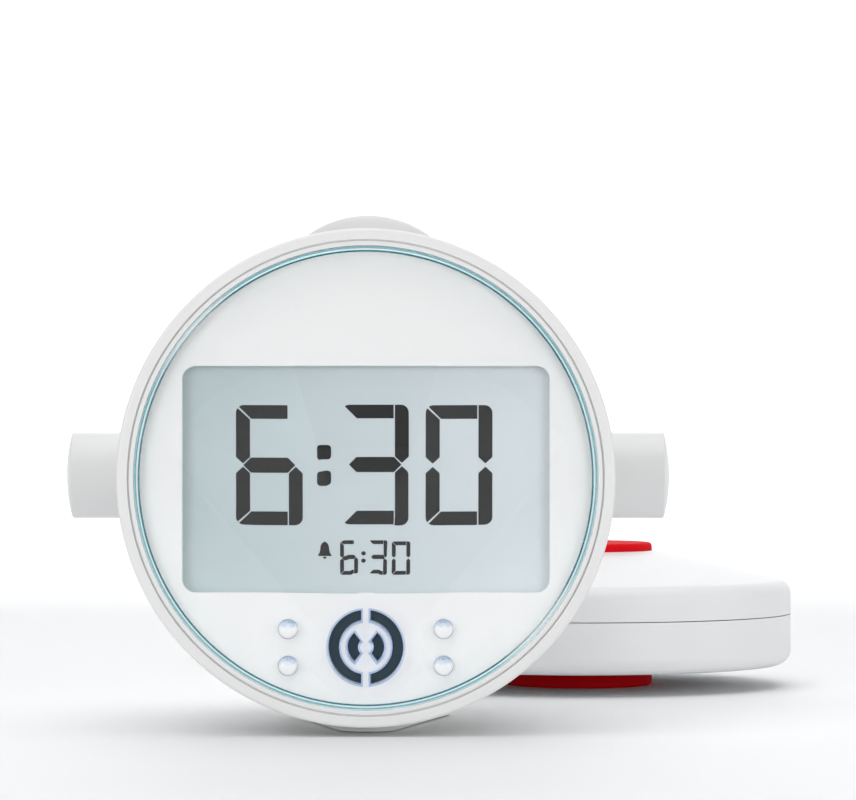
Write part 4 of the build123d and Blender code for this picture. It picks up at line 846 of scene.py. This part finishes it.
# Shaker pads: soft red rubber discs with a rounded edge, glued into the seats on both faces.
# Matt with a fine grain.
pad_red, tree, shader, place = start_finish("pad_red")
shader.inputs["Base Color"].default_value = (0.72, 0.0011, 0.0065, 1)
shader.inputs["Roughness"].default_value = 0.75
shader.inputs["Specular IOR Level"].default_value = 0.12
grain = tree.nodes.new("ShaderNodeTexNoise")
grain.inputs["Scale"].default_value = 1400
bump = tree.nodes.new("ShaderNodeBump")
bump.inputs["Strength"].default_value = 0.12
bump.inputs["Distance"].default_value = 0.00006
tree.links.new(place.outputs["Object"], grain.inputs["Vector"])
tree.links.new(grain.outputs["Fac"], bump.inputs["Height"])
tree.links.new(bump.outputs["Normal"], shader.inputs["Normal"])
dress_nodes(pad_red, "shaker_top_pad", "shaker_bottom_pad")

# Shaker grommet: pale grey rubber in the seam at the back.
# Held between the shells by its inner flange.
gland_grey = grained_finish("gland_grey", (0.50, 0.51, 0.52, 1), 700, 0.6, 0.75)
dress_nodes(gland_grey, "cable_gland")

# Studio: a pale floor that sweeps up behind; a lamp high at the left, two low ones in front as fill.
# A broad lamp hangs overhead, a small one lights the shaker, one the sweep, and the world is plain white.
floor_half = 4.0
floor_start = -2.4
floor_end = 0.9
sweep_radius = 0.9
sweep_steps = 16
sweep_top = 3.5
sweep_crease = 180
sweep = [(floor_start, 0.0), (floor_end, 0.0)]
for step in range(1, sweep_steps + 1):
    turn = pi / 2 * step / sweep_steps
    sweep.append((floor_end + sweep_radius * sin(turn), sweep_radius * (1 - cos(turn))))
sweep.append((floor_end + sweep_radius, sweep_top))
bm = bmesh.new()
line = [bm.verts.new((-floor_half, y, z)) for y, z in sweep]
edges = [bm.edges.new(pair) for pair in zip(line, line[1:])]
grown = bmesh.ops.extrude_edge_only(bm, edges=edges)["geom"]
far_side = [item for item in grown if isinstance(item, bmesh.types.BMVert)]
bmesh.ops.translate(bm, verts=far_side, vec=(2 * floor_half, 0, 0))
studio_sweep = make_piece("studio_sweep", bm, sweep_crease)
studio_sweep.data.flip_normals()
paper_white = bpy.data.materials.new("paper_white")
paper_white.use_nodes = True
shader = paper_white.node_tree.nodes["Principled BSDF"]
shader.inputs["Base Color"].default_value = (0.90, 0.905, 0.915, 1)
shader.inputs["Roughness"].default_value = 0.6
studio_sweep.data.materials.append(paper_white)
studio_sweep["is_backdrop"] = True
world = bpy.data.worlds.new("studio_world")
world.use_nodes = True
world.node_tree.nodes["Background"].inputs["Color"].default_value = (1, 1, 1, 1)
world.node_tree.nodes["Background"].inputs["Strength"].default_value = 0.32
bpy.context.scene.world = world
studio_lamps = [("key", (-0.68, -0.81, 1.11), (0, 0, 0.05), 1.2, 4.0)]
studio_lamps.append(("left", (-0.75, -1.0, 0.12), (0, 0, 0.05), 0.6, 3.6))
studio_lamps.append(("right", (0.75, -1.0, 0.12), (0, 0, 0.05), 0.6, 3.7))
studio_lamps.append(("side", (0.45, -0.04, 0.08), (0.06, 0.1, 0.02), 0.2, 0.16))
studio_lamps.append(("top", (0.1, 0.05, 1.35), (0.05, 0.05, 0), 1.6, 10.0))
studio_lamps.append(("back", (0.0, 0.8, 1.2), (0, 1.8, 0.9), 1.0, 18.0))
for name, spot, aim, size, power in studio_lamps:
    light = bpy.data.lights.new("light_" + name, "AREA")
    light.shape = "DISK"
    light.size = size
    light.energy = power
    lamp = bpy.data.objects.new("light_" + name, light)
    lamp.location = spot
    lamp.rotation_euler = (Vector(aim) - Vector(spot)).to_track_quat("-Z", "Y").to_euler()
    bpy.context.scene.collection.objects.link(lamp)

# Camera: level and straight on to the dial, a little to its right, as in the photograph.
# A long lens from 0.85 m away keeps the sides of the knobs nearly parallel.
camera_gap = 0.85
camera_x = 0.0122
camera_z = 0.0661
camera_lens = bpy.data.cameras.new("camera")
camera_lens.sensor_width = 36
camera_lens.sensor_fit = "HORIZONTAL"
camera_lens.lens = 182.4
camera_lens.clip_start = 0.05
camera = bpy.data.objects.new("camera", camera_lens)
camera.location = (camera_x, face_y - camera_gap, camera_z)
camera.rotation_euler = (radians(90), 0, 0)
bpy.context.scene.collection.objects.link(camera)
bpy.context.scene.camera = camera
bpy.context.scene.view_settings.view_transform = "Standard"

low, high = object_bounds()
